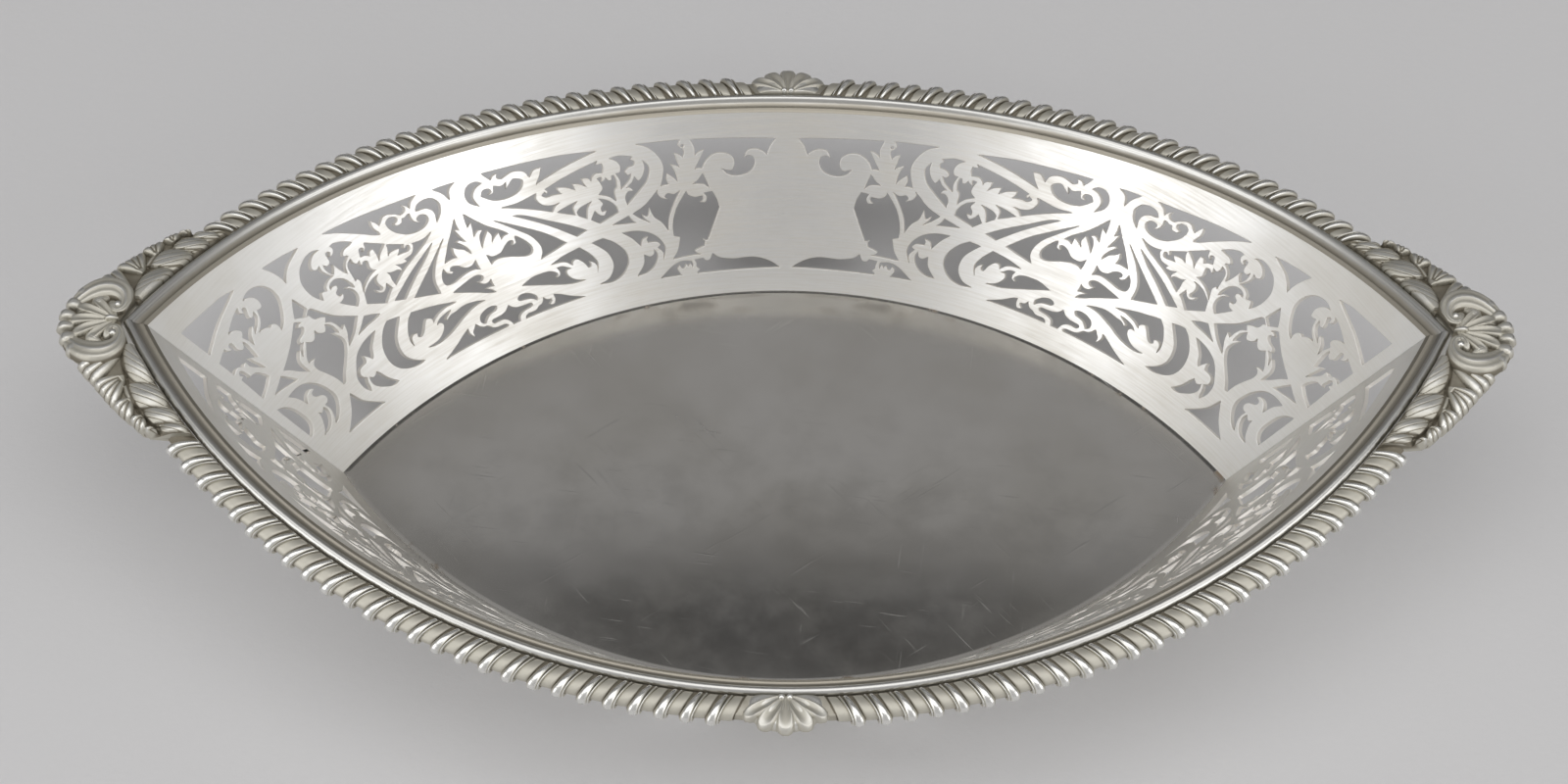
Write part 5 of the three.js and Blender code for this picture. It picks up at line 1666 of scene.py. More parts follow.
class LeafSpray(Casting):
    """Acanthus leaves between the gadroons and the end ornament, cast as one relief."""

    sizes = CastingSizes(rows=230, columns=78, trial=15.0, least=6.2, most=14.2, inner_roll=0.06)
    START = 162.35
    LENGTH = 33.0
    # How far each row leans along the rim for a distance out, at the spray's two ends
    LEAN = (0.5, -0.4)
    INNER = (
        Lobe(2.0, 3.0, 92.0, 2.6, 2.2, height=0.9, root_share=0.8, fullest=0.4),
        Lobe(5.4, 3.4, 92.0, 4.4, 2.7, height=1.05, base=0.05, root_share=0.8, fullest=0.4),
        Lobe(10.8, 3.8, 92.0, 6.4, 3.3, height=1.2, base=0.1, root_share=0.8, fullest=0.4),
        Lobe(18.9, 4.1, 92.0, 8.9, 4.0, height=1.35, base=0.15, root_share=0.8, fullest=0.4),
        Lobe(31.6, 1.5, 92.0, 13.4, 3.1, height=1.5, base=0.25, root_share=0.5, fullest=0.5, bend=0.1),
    )
    # Steps of a vein from the stem to the wire: back along the spray, and share of the stem's distance
    VEIN = ((0.3, 1.0), (1.6, 0.84), (3.6, 0.54), (5.6, 0.26), (7.4, 0.05))
    VEIN_START, VEIN_PITCH = 2.0, 2.4
    CREASES = (2.2, 5.5, 10.9, 18.9)
    # Steps of a crease, in the same way; its last point is this far outside the wire
    CREASE, CREASE_END = ((-0.4, 1.0), (0.0, 0.6), (0.9, 0.25)), (2.2, 0.2)
    # Fans of outer folds: root along and outside the wire, then end along, outside, and half width
    FANS = (
        (4.6, 6.6, ((4.4, 9.0, 0.9), (3.2, 8.4, 0.85))),
        (9.0, 7.2, ((7.8, 10.3, 1.0), (6.4, 9.9, 1.0), (5.2, 9.5, 0.9))),
        (14.8, 7.2, ((12.5, 11.6, 1.15), (10.9, 11.1, 1.1), (9.3, 10.6, 1.0))),
        (22.0, 5.6, ((19.7, 13.0, 1.25), (17.8, 12.5, 1.25), (15.9, 12.2, 1.2), (14.2, 11.8, 1.0))),
        (29.4, 3.6, ((28.0, 13.6, 1.3), (25.9, 14.3, 1.35), (23.7, 13.8, 1.3), (21.6, 13.1, 1.2))),
    )
    FOLD = Lobe(height=1.15, lift=0.55, droop=1.0, fullest=0.84, root_share=0.2)
    # Height of the first fold's base and of the knob at its end, and how much lower the next ones lie
    FOLD_BASE, KNOB_BASE, NEXT_LOWER = 0.3, -0.1, 0.1
    # The knob's radius and its distance inside the fold's end, as shares of the half width, and its rise
    KNOB_RADIUS, KNOB_INSET, KNOB_RISE = 0.8, 0.9, 1.05
    # Half width and depth of the grooves between folds, of the veins, the creases and the stem
    FOLD_GROOVE, VEIN_GROOVE, CREASE_GROOVE, STEM_GROOVE = (0.2, 0.4), (0.15, 0.09), (0.26, 0.5), (0.3, 0.55)
    # Shares of a fold's length at which its groove begins and ends
    FOLD_GROOVE_ENDS = (0.25, 1.05)
    LINE_STEP, STEM_STEP = 0.25, 0.2
    # Height of the bed beside the wire, and how much lower it lies at the edge
    BED, BED_DROP = 0.2, 0.9
    STEM = (
        (0.0, 5.4),
        (2.0, 6.1),
        (6.6, 7.0),
        (12.0, 7.4),
        (17.7, 6.6),
        (21.8, 5.6),
        (26.5, 4.5),
        (31.0, 3.0),
        (33.0, 2.2),
    )

    def _along(self, out: Array) -> Array:
        """Length along the rim of each row of the plan, at these distances outside the wire."""
        rows = self.sizes.rows
        return np.linspace(0.0, self.LENGTH, rows)[:, None] + np.linspace(*self.LEAN, rows)[:, None] * out

    def _surface(self, along: Array, out: Array, share: Array) -> Relief:
        """The relief over a plan of length along the spray and distance outside the wire."""
        relief = Relief(along, out, self.BED - self.BED_DROP * share**2)
        for x, y, folds in self.FANS:
            for number, (end_x, end_y, half_width) in enumerate(folds):
                turn = math.degrees(math.atan2(x - end_x, end_y - y))
                length = math.hypot(end_x - x, end_y - y)
                lower = self.NEXT_LOWER * number
                place = {"x": x, "y": y, "turn": turn, "length": length, "half_width": half_width}
                relief.lobe(replace(self.FOLD, base=self.FOLD_BASE - lower, **place))
                back = 1 - self.KNOB_INSET * half_width / length
                middle = x + back * (end_x - x), y + back * (end_y - y)
                relief.knob(*middle, self.KNOB_RADIUS * half_width, self.KNOB_BASE - lower, self.KNOB_RISE)
        for x, y, folds in self.FANS:
            for one, other in zip(folds, folds[1:]):
                end = np.array([one[0] + other[0], one[1] + other[1]]) / 2
                line = np.array([x, y]) + np.linspace(*self.FOLD_GROOVE_ENDS, 5)[:, None] * (end - (x, y))
                relief.groove(smooth_run(line, self.LINE_STEP), *self.FOLD_GROOVE)
        for lobe in self.INNER:
            relief.lobe(lobe)
        stem = np.array(self.STEM)
        for place in np.arange(self.VEIN_START, self.LENGTH, self.VEIN_PITCH):
            reach = np.interp(place, *stem.T)
            line = np.array([(place - back, reach * high) for back, high in self.VEIN])
            relief.groove(smooth_run(line, self.LINE_STEP), *self.VEIN_GROOVE)
        for place in self.CREASES:
            reach = np.interp(place, *stem.T)
            steps = [(back, reach * high) for back, high in self.CREASE] + [self.CREASE_END]
            line = np.array([(place - back, high) for back, high in steps])
            relief.groove(smooth_run(line, self.LINE_STEP), *self.CREASE_GROOVE)
        relief.groove(smooth_run(stem, self.STEM_STEP), *self.STEM_GROOVE)
        return relief

    def _crest(self, crest: Array) -> Array:
        """How rubbed the leaves are."""
        return CASTING_CREST * crest

    def build(self, half: Half, hand: Hand) -> None:
        """Model the spray and put it at its quarter."""
        name = side_name(half, hand)
        mesh = self._cast(f"{name}_leaves", self.START, hand.value)
        self.settle(f"{name}_leaves", turned(mesh, half), f"{name}_leaf_spray")


class EndShell(Piece):
    """The ornament over a tip: a palmette between two leafy C-scrolls, cast as one relief."""

    # Turn from straight along +X, in degrees, length and half width of each dished rib
    RIBS = ((0.0, 11.3, 1.5), (24.0, 10.7, 1.45), (48.0, 9.2, 1.35), (74.0, 6.2, 1.0))
    # Lobes along the outer edge: turn from +X, distance of the root from the tip, half width
    EDGE = ((7.5, 11.6, 1.45), (23.0, 11.4, 1.6), (40.0, 11.4, 1.7))
    RIB = Lobe(1.6, height=1.05, base=0.25, lift=0.75, droop=0.8, fullest=0.8, root_share=0.2, dish=0.7)
    EDGE_LOBE = Lobe(length=4.5, height=1.05, base=-0.25, lift=0.6, droop=1.0, fullest=0.66, root_share=0.5)
    HINGE = Lobe(0.8, 0.0, -90.0, 3.4, 0.75, height=0.8, base=0.9, droop=0.2)
    # Body of the C-scroll: beyond the tip, beside the axis, height and half width
    SCROLL = (
        (1.9, 4.9, 1.15, 0.55),
        (2.8, 4.1, 1.15, 0.7),
        (2.4, 2.9, 1.05, 0.85),
        (1.0, 2.8, 0.95, 1.0),
        (0.0, 4.2, 0.8, 1.3),
        (-0.1, 6.3, 0.65, 1.8),
        (0.8, 8.5, 0.5, 2.6),
        (3.0, 10.0, 0.35, 3.2),
        (5.8, 10.2, 0.2, 3.4),
        (8.6, 9.2, 0.0, 3.0),
        (11.0, 7.3, -0.2, 2.3),
        (12.9, 5.0, -0.4, 1.5),
    )
    # The scroll's section as a share of its half width, its ridges and their depth
    SCROLL_SHAPE = (0.55, 3, 0.2)
    # The scroll's eye: beyond the tip, beside the axis, radius, base and rise
    EYE = (1.7, 4.5, 0.95, 0.95, 0.85)
    # The leaf that curls off the scroll, on the +Y side
    CURL = Lobe(4.2, 7.0, -114.0, 4.6, 1.2, height=0.8, base=0.35, veins=2, bend=0.1)
    CREST = 0.88
    SCROLL_STEP = 0.3
    # Height of the bed in the middle, and how much lower it lies at the edge
    BED, BED_DROP = 0.15, 0.8
    # Middle of the plan beyond the tip, and how far it turns to each side
    CENTRE = 0.75
    TURN = math.radians(113.0)
    ROWS = 330
    COLUMNS = 84
    # Distance from the middle that is tried for the outer edge, and its least and greatest values
    TRIAL, TRIAL_STEPS = 18.0, 240
    LEAST, MOST = 8.0, 15.55
    # Share of the way out that is rolled down at the edge, and by how much
    ROLL, ROLL_DROP = 0.07, 1.1
    TOP = 2.1
    FOOT, FOOT_INSET = -2.5, 0.5

    def _surface(self, x: Array, y: Array, share: Array) -> Relief:
        """The relief over a plan of distance beyond the tip and beside the axis."""
        relief = Relief(x, y, self.BED - self.BED_DROP * share**2)
        scroll = smooth_run(np.array(self.SCROLL), self.SCROLL_STEP)
        for side in (-1, 1):
            relief.bar(scroll * np.array([1, side, 1, 1]), *self.SCROLL_SHAPE)
            relief.knob(self.EYE[0], side * self.EYE[1], *self.EYE[2:])
            curl = self.CURL
            turn = -90.0 + side * (curl.turn + 90.0)
            relief.lobe(replace(curl, y=side * curl.y, turn=turn, bend=side * curl.bend))
        for degrees, length, half_width in self.RIBS:
            for side in (-1, 1) if degrees else (1,):
                turn = -90.0 + side * degrees
                relief.lobe(replace(self.RIB, turn=turn, length=length, half_width=half_width))
        relief.lobe(self.HINGE)
        for degrees, root, half_width in self.EDGE:
            for side in (-1, 1):
                a = math.radians(side * degrees)
                place = {"x": root * math.cos(a), "y": root * math.sin(a), "turn": -90.0 + side * degrees}
                relief.lobe(replace(self.EDGE_LOBE, half_width=half_width, **place))
        return relief

    def build(self, node: str, angle: float) -> None:
        """Model the ornament and put it over its tip.

        Args:
            node: The CAD node that it stands for.
            angle: Turn about Z, zero for the right tip.
        """
        s = self.form.sizes
        turn = np.linspace(-self.TURN, self.TURN, self.ROWS)[:, None]
        trial = np.linspace(0.0, self.TRIAL, self.TRIAL_STEPS)[None, :]
        plan = self._surface(self.CENTRE + trial * np.cos(turn), trial * np.sin(turn), 0 * trial * turn)
        plan.y = trial + 0 * turn
        edge = np.minimum(plan.reach(self.LEAST), self.MOST)[:, None]
        share = np.linspace(0.0, 1.0, self.COLUMNS)[None, :]
        radius = edge * share
        relief = self._surface(self.CENTRE + radius * np.cos(turn), radius * np.sin(turn), share + 0 * turn)
        rolled = np.clip((share - (1 - self.ROLL)) / self.ROLL, 0.0, 1.0)
        up = relief.height - self.ROLL_DROP * rolled**2
        radius = np.concatenate([radius, edge - self.FOOT_INSET, 0 * edge], axis=1)
        up = np.concatenate([up, np.full((self.ROWS, 2), self.FOOT)], axis=1)
        x = s.rim_half_length + self.CENTRE + radius * np.cos(turn)
        rows = np.stack([x, radius * np.sin(turn), s.rim_height_tip + np.minimum(up, self.TOP)], axis=-1)
        made = Parts()
        crest = np.concatenate([self.CREST * relief.crest, UNDERSIDE[:2] + 0 * turn], axis=1)
        made.grid(rows, crest, around=True)
        mesh = made.mesh(node, CASTING_CRISP)
        mesh.transform(Matrix.Rotation(angle, 4, "Z"))
        self.settle(node.replace("end_shell", "end_ornament"), mesh, node)


class Shade(NodeGraph):
    """The node tree of a material or of the surroundings, under construction."""

    def __init__(self, owner: bpy.types.Material | bpy.types.World) -> None:
        """Start with an empty tree.

        Args:
            owner: The material or world that the tree is for.
        """
        owner.use_nodes = True
        self.owner = owner
        super().__init__(owner.node_tree)

    @classmethod
    def named(cls, name: str) -> "Shade":
        """Start a new material."""
        return cls(bpy.data.materials.new(name))

    def place(self) -> bpy.types.NodeSocket:
        """The point on the object, in metres."""
        return self.node("ShaderNodeTexCoord").outputs["Object"]

    def drawing(self) -> bpy.types.NodeSocket:
        """The point on the flat drawing of the fretwork, in decimetres."""
        return self.node("ShaderNodeUVMap", {"uv_map": "Drawing"}).outputs["UV"]

    def mark(self, name: str) -> Signal:
        """A value stored on the mesh."""
        return self.signal(self.node("ShaderNodeAttribute", {"attribute_name": name}), "Fac")

    def noise(
        self,
        place: bpy.types.NodeSocket,
        size: float,
        detail: float = 3.0,
        stretch: tuple[float, float, float] = (1.0, 1.0, 1.0),
        turn: float = 0.0,
        rough: float = 0.5,
    ) -> Signal:
        """Cloudy noise.

        Args:
            place: Coordinates, in metres.
            size: Size of its blobs, in metres.
            detail: Number of finer layers.
            stretch: How many times finer it is in each direction.
            turn: Turn about Z, in radians, before the stretch.
            rough: Strength of the finer layers.

        Returns:
            The noise, about NOISE_MIDDLE on average.
        """
        turned_place = self.node("ShaderNodeMapping", {}, {"Vector": place, "Rotation": (0.0, 0.0, turn)})
        scaled = self.node(
            "ShaderNodeVectorMath",
            {"operation": "MULTIPLY"},
            {0: turned_place.outputs[0], 1: tuple(k / size for k in stretch)},
        )
        values = {"Vector": scaled.outputs[0], "Scale": 1.0, "Detail": detail, "Roughness": rough}
        return self.signal(self.node("ShaderNodeTexNoise", {}, values), "Fac")

    def mixed(
        self,
        share: Signal | float,
        first: Colour | bpy.types.NodeSocket,
        second: Colour | bpy.types.NodeSocket,
    ) -> bpy.types.NodeSocket:
        """A colour between two.

        Args:
            share: How much of the second.
            first: The first colour.
            second: The second colour.

        Returns:
            The mixed colour.
        """
        values: dict = {0: share}
        for key, colour in ((6, first), (7, second)):
            values[key] = colour if isinstance(colour, bpy.types.NodeSocket) else (*colour, 1.0)
        return self.node("ShaderNodeMix", {"data_type": "RGBA"}, values).outputs[2]

    def bump(
        self, height: Signal, depth: float, under: bpy.types.NodeSocket | None = None
    ) -> bpy.types.NodeSocket:
        """Normals for a relief.

        Args:
            height: The relief, from 0 to 1.
            depth: Its full depth, in metres.
            under: Normals of the relief that this one lies on.

        Returns:
            The normals.
        """
        values: dict = {"Height": height, "Distance": depth, "Strength": 1.0}
        if under is not None:
            values["Normal"] = under
        return self.node("ShaderNodeBump", {}, values).outputs["Normal"]

    def surface(
        self,
        colour: bpy.types.NodeSocket,
        roughness: Signal | float,
        normal: bpy.types.NodeSocket,
        metallic: Signal | float = 1.0,
    ) -> bpy.types.Material:
        """Finish the material.

        Args:
            colour: Base colour.
            roughness: Roughness.
            normal: Normals.
            metallic: How metallic it is.

        Returns:
            The material.
        """
        values = {"Base Color": colour, "Roughness": roughness, "Normal": normal, "Metallic": metallic}
        made = self.node("ShaderNodeBsdfPrincipled", {}, values)
        self.node("ShaderNodeOutputMaterial", {}, {"Surface": made.outputs[0]})
        return self.owner


@dataclass(frozen=True)
class Finish:
    """A ready material and the record's slot that it stands for."""

    material: bpy.types.Material
    slot: str


@dataclass(frozen=True)
class FloorFinish:
    """Worn mirror polish: fine scratches every way, slow waves of the hammered sheet, dull seams.

    Sizes and depths are in metres, as in the finishes after it. A span is the two values of a noise
    or a mark between which its effect grows from none to all.
    """

    clean: Colour = (0.66, 0.645, 0.62)
    dull: Colour = (0.54, 0.52, 0.48)
    scratch: Colour = (0.88, 0.87, 0.85)
    grime: Colour = (0.27, 0.17, 0.08)
    polish: float = 0.09
    cloud_size: float = 0.045
    cloud_span: Span = (0.35, 0.7)
    film_size: float = 0.012
    film_span: Span = (0.35, 0.75)
    spot_size: float = 0.006
    spot_span: Span = (0.6, 0.72)
    spot_seam_span: Span = (0.86, 0.99)
    line_stretch: tuple[float, float, float] = (0.05, 1.0, 1.0)
    line_span: Span = (0.66, 0.78)
    break_size: float = 0.016
    break_growth: float = 0.004
    break_span: Span = (0.45, 0.65)
    wave_size: float = 0.02
    wave_depth: float = 0.00003
    scratch_depth: float = 0.000004
    # How much each of them shows in the colour
    cloud_share: float = 0.6
    seam_share: float = 0.25
    scratch_share: float = 0.25
    spot_share: float = 0.7
    # What each of them adds to the roughness
    film_haze: float = 0.05
    scratch_haze: float = 0.14
    seam_haze: float = 0.05
    spot_haze: float = 0.25
    # Direction in radians and width of each set of scratches
    scratch_sets: Sequence[tuple[float, float]] = (
        (0.15, 0.0007),
        (0.9, 0.0008),
        (1.7, 0.0007),
        (2.5, 0.0009),
    )

    def build(self) -> Finish:
        """Make the material."""
        shade = Shade.named("Floor silver")
        place = shade.place()
        clouds = shade.noise(place, self.cloud_size, detail=4.0)
        film = shade.noise(place, self.film_size, detail=5.0, rough=0.65)
        seam = shade.mark("seam")
        spots = shade.noise(place, self.spot_size, detail=3.0).between(*self.spot_span)
        spots = spots * seam.between(*self.spot_seam_span)
        layers = []
        for number, (turn, size) in enumerate(self.scratch_sets):
            lines = shade.noise(place, size, detail=2.0, stretch=self.line_stretch, turn=turn)
            lines = lines.between(*self.line_span)
            breaks = shade.noise(place, self.break_size + self.break_growth * number, detail=2.0)
            layers.append(lines * breaks.between(*self.break_span))
        scratches = sum(layers[1:], layers[0])
        duller = clouds.between(*self.cloud_span) * self.cloud_share + seam * self.seam_share
        colour = shade.mixed(duller, self.clean, self.dull)
        colour = shade.mixed(scratches * self.scratch_share, colour, self.scratch)
        colour = shade.mixed(spots * self.spot_share, colour, self.grime)
        roughness = self.polish + self.film_haze * film.between(*self.film_span)
        roughness = roughness + self.scratch_haze * scratches
        roughness = roughness + self.seam_haze * seam + self.spot_haze * spots
        normal = shade.bump(shade.noise(place, self.wave_size, detail=1.0), self.wave_depth)
        normal = shade.bump(1.0 - scratches, self.scratch_depth, normal)
        return Finish(shade.surface(colour, roughness, normal), "floor_silver")


@dataclass(frozen=True)
class PanelFinish:
    """Soft hand polish with fine streaks along the sheet, and a painted highlight on the sawn edges of the
    openings.
    """

    bright: Colour = (0.88, 0.875, 0.855)
    warm: Colour = (0.74, 0.715, 0.66)
    # Lighter colour of the sawn edges: a painted highlight along the openings
    edge: Colour = (0.90, 0.87, 0.82)
    polish: float = 0.27
    cut_roughness: float = 0.55
    # How much less metallic a sawn edge is
    cut_dullness: float = 0.5
    cloud_size: float = 0.03
    cloud_span: Span = (0.4, 0.7)
    haze_span: Span = (0.3, 0.75)
    streak_size: float = 0.006
    streak_stretch: tuple[float, float, float] = (0.035, 1.0, 1.0)
    streak_span: Span = (0.35, 0.7)
    fine_size: float = 0.0022
    fine_stretch: tuple[float, float, float] = (0.02, 1.0, 1.0)
    fine_span: Span = (0.45, 0.7)
    wave_size: float = 0.018
    wave_depth: float = 0.00003
    streak_depth: float = 0.000003
    # How much clouds, streaks and fine lines show in the colour, and how much the lines fade at the tips
    cloud_share: float = 0.5
    streak_share: float = 0.45
    fine_share: float = 0.3
    fade: float = 0.8
    # How much of the relief is streaks, and how much fine lines
    streak_relief: float = 0.6
    fine_relief: float = 0.4
    # What clouds, streaks and the tips add to the roughness
    cloud_haze: float = 0.12
    streak_haze: float = 0.1
    tip_haze: float = 0.2
    # Distances from the middle between which the streaks fade towards the tips
    fade_start: float = 0.085
    fade_end: float = 0.135

    def build(self) -> Finish:
        """Make the material."""
        shade = Shade.named("Panel silver")
        place, drawing = shade.place(), shade.drawing()
        clouds = shade.noise(place, self.cloud_size, detail=4.0)
        streaks = shade.noise(drawing, self.streak_size, detail=4.0, stretch=self.streak_stretch, rough=0.6)
        fine = shade.noise(drawing, self.fine_size, detail=3.0, stretch=self.fine_stretch, rough=0.7)
        beside = shade.signal(shade.node("ShaderNodeSeparateXYZ", {}, {0: place}), "X")
        end = (beside * beside).between(self.fade_start**2, self.fade_end**2)
        lines = self.streak_share * streaks.between(*self.streak_span)
        lines = lines + self.fine_share * fine.between(*self.fine_span)
        lines = lines * (1.0 - self.fade * end)
        brushed = self.cloud_share * clouds.between(*self.cloud_span) + lines
        cut = shade.mark("cut")
        # The sawn edges take the lighter edge colour, a painted highlight; they are also rougher and half
        # metallic
        colour = shade.mixed(cut, shade.mixed(brushed, self.bright, self.warm), self.edge)
        roughness = self.polish + self.cloud_haze * clouds.between(*self.haze_span)
        roughness = roughness + self.streak_haze * streaks.between(*self.streak_span) + self.tip_haze * end
        roughness = roughness * (1.0 - cut) + self.cut_roughness * cut
        normal = shade.bump(shade.noise(place, self.wave_size, detail=1.0), self.wave_depth)
        relief = streaks * self.streak_relief + fine * self.fine_relief
        normal = shade.bump(relief, self.streak_depth, normal)
        metallic = 1.0 - self.cut_dullness * cut
        return Finish(shade.surface(colour, roughness, normal, metallic), "panel_silver")


@dataclass(frozen=True)
class WireFinish:
    """Bright on the wire, warm and dull down in the cove."""

    bright: Colour = (0.62, 0.615, 0.59)
    cove: Colour = (0.42, 0.39, 0.33)
    polish: float = 0.26
    wear_size: float = 0.01
    # How far the wear shifts the line between wire and cove
    wear_shift: float = 0.35
    crest_span: Span = (0.12, 0.6)
    fine_size: float = 0.0009
    wear_depth: float = 0.00002
    # What the cove and the fine grain add to the roughness
    cove_haze: float = 0.2
    fine_haze: float = 0.06

    def build(self) -> Finish:
        """Make the material."""
        shade = Shade.named("Wire silver")
        place = shade.place()
        wear = shade.noise(place, self.wear_size, detail=4.0)
        shifted = shade.mark("crest") + self.wear_shift * (wear - NOISE_MIDDLE)
        low = 1.0 - shifted.between(*self.crest_span)
        colour = shade.mixed(low, self.bright, self.cove)
        fine = shade.noise(place, self.fine_size, detail=3.0)
        roughness = self.polish + self.cove_haze * low + self.fine_haze * fine
        return Finish(shade.surface(colour, roughness, shade.bump(wear, self.wear_depth)), "wire_silver")


@dataclass(frozen=True)
class BorderFinish:
    """Cast relief: crests rubbed bright, creamy film on the slopes, dark lines in the hollows."""

    crest: Colour = (0.85, 0.845, 0.815)
    slope: Colour = (0.57, 0.548, 0.48)
    hollow: Colour = (0.20, 0.175, 0.13)
    film_roughness: float = 0.5
    wear_size: float = 0.004
    # How far the wear shifts the lines between crests, slopes and hollows
    wear_shift: float = 0.22
    crest_span: Span = (0.55, 1.0)
    hollow_span: Span = (0.02, 0.3)
    hollow_share: float = 0.85
    grain_size: float = 0.0006
    wear_depth: float = 0.00004
    # What the rubbing takes off the roughness, and what hollows and grain add to it
    rubbed_polish: float = 0.27
    hollow_haze: float = 0.1
    grain_haze: float = 0.05
    # How metallic the film is, and how much more the rubbed crests are
    film_metal: float = 0.82
    rubbed_metal: float = 0.18

    def build(self) -> Finish:
        """Make the material."""
        shade = Shade.named("Border silver")
        place = shade.place()
        wear = shade.noise(place, self.wear_size, detail=4.0)
        grain = shade.noise(place, self.grain_size, detail=3.0, rough=0.6)
        relief = shade.mark("crest") + self.wear_shift * (wear - NOISE_MIDDLE)
        rubbed = relief.between(*self.crest_span)
        depth = 1.0 - relief.between(*self.hollow_span)
        colour = shade.mixed(rubbed, self.slope, self.crest)
        colour = shade.mixed(depth * self.hollow_share, colour, self.hollow)
        roughness = self.film_roughness - self.rubbed_polish * rubbed
        roughness = roughness + self.hollow_haze * depth + self.grain_haze * grain
        normal = shade.bump(wear, self.wear_depth)
        metallic = self.film_metal + self.rubbed_metal * rubbed
        return Finish(shade.surface(colour, roughness, normal, metallic), "border_silver")


@dataclass(frozen=True)
class CameraPlace:
    """The photograph's camera: lens and sensor in millimetres, angles in radians, place in metres."""

    lens: float = 70.2
    sensor: float = 36.0
    elevation: float = math.radians(50.375)
    roll: float = math.radians(0.874)
    yaw: float = math.radians(-0.489)
    place: tuple[float, float, float] = (-0.004702, -0.482053, 0.617259)


@dataclass(frozen=True)
class SoftBox:
    """A large soft lamp that faces the basket: angles in degrees, sizes in metres."""

    name: str
    azimuth: float
    elevation: float
    distance: float
    width: float
    height: float
    brightness: float


@dataclass(frozen=True)
class Room:
    """Levels of light from the grey room, and the heights, as sines, between which they change."""

    colour: Colour = (1.0, 0.99, 0.985)
    far: float = 0.12
    far_wall: float = 0.24
    near: float = 0.47
    shadow: float = 0.06
    near_from: tuple[float, float] = (-0.25, 0.35)
    wall_from: tuple[float, float] = (0.45, 0.62)
    shadow_from: tuple[float, float] = (0.797, 0.811)
    shadow_to: tuple[float, float] = (0.87, 0.93)


def direction(azimuth: float, elevation: float) -> Vector:
    """Direction from the basket, with azimuth counted from +Y towards +X, in radians."""
    flat = math.cos(elevation)
    return Vector((math.sin(azimuth) * flat, math.cos(azimuth) * flat, math.sin(elevation)))


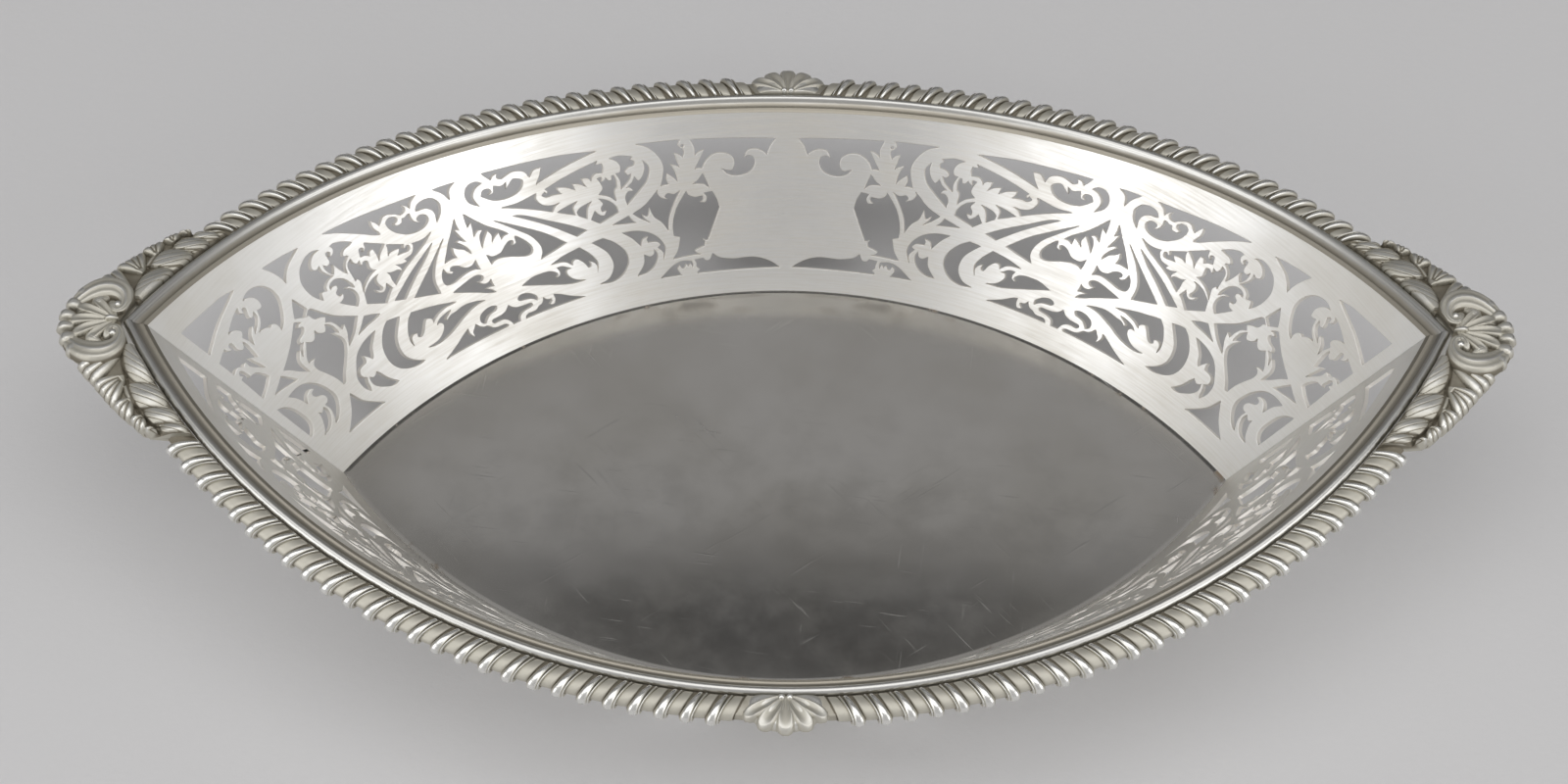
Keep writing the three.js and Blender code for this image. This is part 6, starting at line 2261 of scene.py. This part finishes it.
class Studio:
    """The pale floor, the soft lamps, the surrounding light and the camera."""

    PAPER: Colour = (0.66, 0.655, 0.66)
    # How much lighter its blotches are, the size of its fibres and blotches and the fibres' depth, in metres
    LIGHTER, FIBRE_SIZE, BLOTCH_SIZE, FIBRE_DEPTH, PAPER_ROUGHNESS = 1.05, 0.002, 0.12, 0.00008, 0.9
    # How much of its colour follows the fibres; the rest follows the blotches
    FIBRE_SHARE = 0.5
    # Half of the sheet of paper's width, in millimetres
    REACH = 4000.0
    # The paper lies a hair under the basket, so that their faces don't coincide
    GAP = -0.02
    LAMPS = (
        SoftBox("front_right", 124.0, 21.0, 1.5, 1.0, 1.0, 1.58),
        SoftBox("front_left", -124.0, 21.0, 1.5, 1.0, 1.0, 1.55),
        SoftBox("overhead", 180.0, 78.0, 1.5, 2.1, 1.3, 1.1),
    )

    def floor(self) -> None:
        """Lay a wide sheet of pale paper under the basket."""
        corners = ((-1, -1), (1, -1), (1, 1), (-1, 1))
        made = Parts()
        made.add(np.array([(x * self.REACH, y * self.REACH, self.GAP) for x, y in corners]), [(0, 1, 2, 3)])
        mesh = made.mesh("paper", None)
        shade = Shade.named("Pale paper")
        place = shade.place()
        fibre = shade.noise(place, self.FIBRE_SIZE, detail=5.0, rough=0.7)
        blotch = shade.noise(place, self.BLOTCH_SIZE, detail=3.0)
        lighter = tuple(min(1.0, c * self.LIGHTER) for c in self.PAPER)
        share = self.FIBRE_SHARE * fibre + (1.0 - self.FIBRE_SHARE) * blotch
        colour = shade.mixed(share, self.PAPER, lighter)
        relief = shade.bump(fibre, self.FIBRE_DEPTH)
        mesh.materials.append(shade.surface(colour, self.PAPER_ROUGHNESS, relief, 0.0))
        link("paper", mesh)

    def lamps(self) -> None:
        """Hang the soft lamps round the basket."""
        for box in self.LAMPS:
            light = bpy.data.lights.new(box.name, "AREA")
            light.shape = "RECTANGLE"
            light.size, light.size_y = box.width, box.height
            light.energy = box.brightness * math.pi * box.width * box.height
            lamp = bpy.data.objects.new(box.name, light)
            bpy.context.scene.collection.objects.link(lamp)
            way = direction(math.radians(box.azimuth), math.radians(box.elevation))
            lamp.location = way * box.distance
            lamp.rotation_mode = "QUATERNION"
            lamp.rotation_quaternion = way.to_track_quat("Z", "Y")

    def surroundings(self) -> None:
        """Light the scene from a plain grey room: darker overhead and low down on the far side."""
        world = bpy.data.worlds.new("Room")
        room, shade = Room(), Shade(world)
        seen = shade.node("ShaderNodeTexCoord").outputs["Generated"]
        way = shade.node("ShaderNodeSeparateXYZ", {}, {0: seen})
        height = shade.signal(way, "Z")
        near = (-1.0 * shade.signal(way, "Y")).between(*room.near_from)
        above = height.between(*room.shadow_from) * (1.0 - height.between(*room.shadow_to))
        shadow = above * (1.0 - near)
        far_level = room.far + room.far_wall * height.between(*room.wall_from)
        level = far_level * (1.0 - near) + room.near * near
        level = level * (1.0 - shadow) + room.shadow * shadow
        background = shade.node("ShaderNodeBackground", {}, {"Color": (*room.colour, 1.0), "Strength": level})
        shade.node("ShaderNodeOutputWorld", {}, {"Surface": background.outputs[0]})
        bpy.context.scene.world = world

    def camera(self) -> None:
        """Set the camera where the photograph was taken from."""
        c = CameraPlace()
        data = bpy.data.cameras.new("camera")
        data.lens, data.sensor_width = c.lens, c.sensor
        data.clip_start, data.clip_end = 0.01, 100.0
        back = direction(math.pi - c.yaw, c.elevation)
        right = Vector((math.cos(c.yaw), math.sin(c.yaw), 0.0))
        up = back.cross(right)
        across = math.cos(c.roll) * right + math.sin(c.roll) * up
        above = -math.sin(c.roll) * right + math.cos(c.roll) * up
        turn = Matrix((across, above, back)).transposed()
        made = bpy.data.objects.new("camera", data)
        made.matrix_world = Matrix.Translation(c.place) @ turn.to_4x4()
        bpy.context.scene.collection.objects.link(made)
        bpy.context.scene.camera = made


def main() -> None:
    logging.basicConfig(level=logging.INFO, format="%(name)s: %(message)s")
    form = BasketForm(BodySizes())
    finishes = (FloorFinish(), PanelFinish(), WireFinish(), BorderFinish())
    floor, panel, wire, border = (finish.build() for finish in finishes)
    repeater = CastingRepeater()
    FloorPlate(form, floor).build()
    for half in Half:
        SidePanel(form, panel).build(half)
        RimWire(form, wire).build(half)
        CentreShell(form, border).build(half)
        for hand in Hand:
            GadroonRun(form, border).build(half, hand, repeater)
            LeafSpray(form, border).build(half, hand)
    for node, angle in (("right_end_shell", 0.0), ("left_end_shell", math.pi)):
        EndShell(form, border).build(node, angle)
    studio = Studio()
    for part in (studio.floor, studio.lamps, studio.surroundings, studio.camera):
        part()
    bpy.context.scene.view_settings.view_transform = "Standard"
    bpy.context.view_layer.update()


if __name__ == "__main__":
    main()
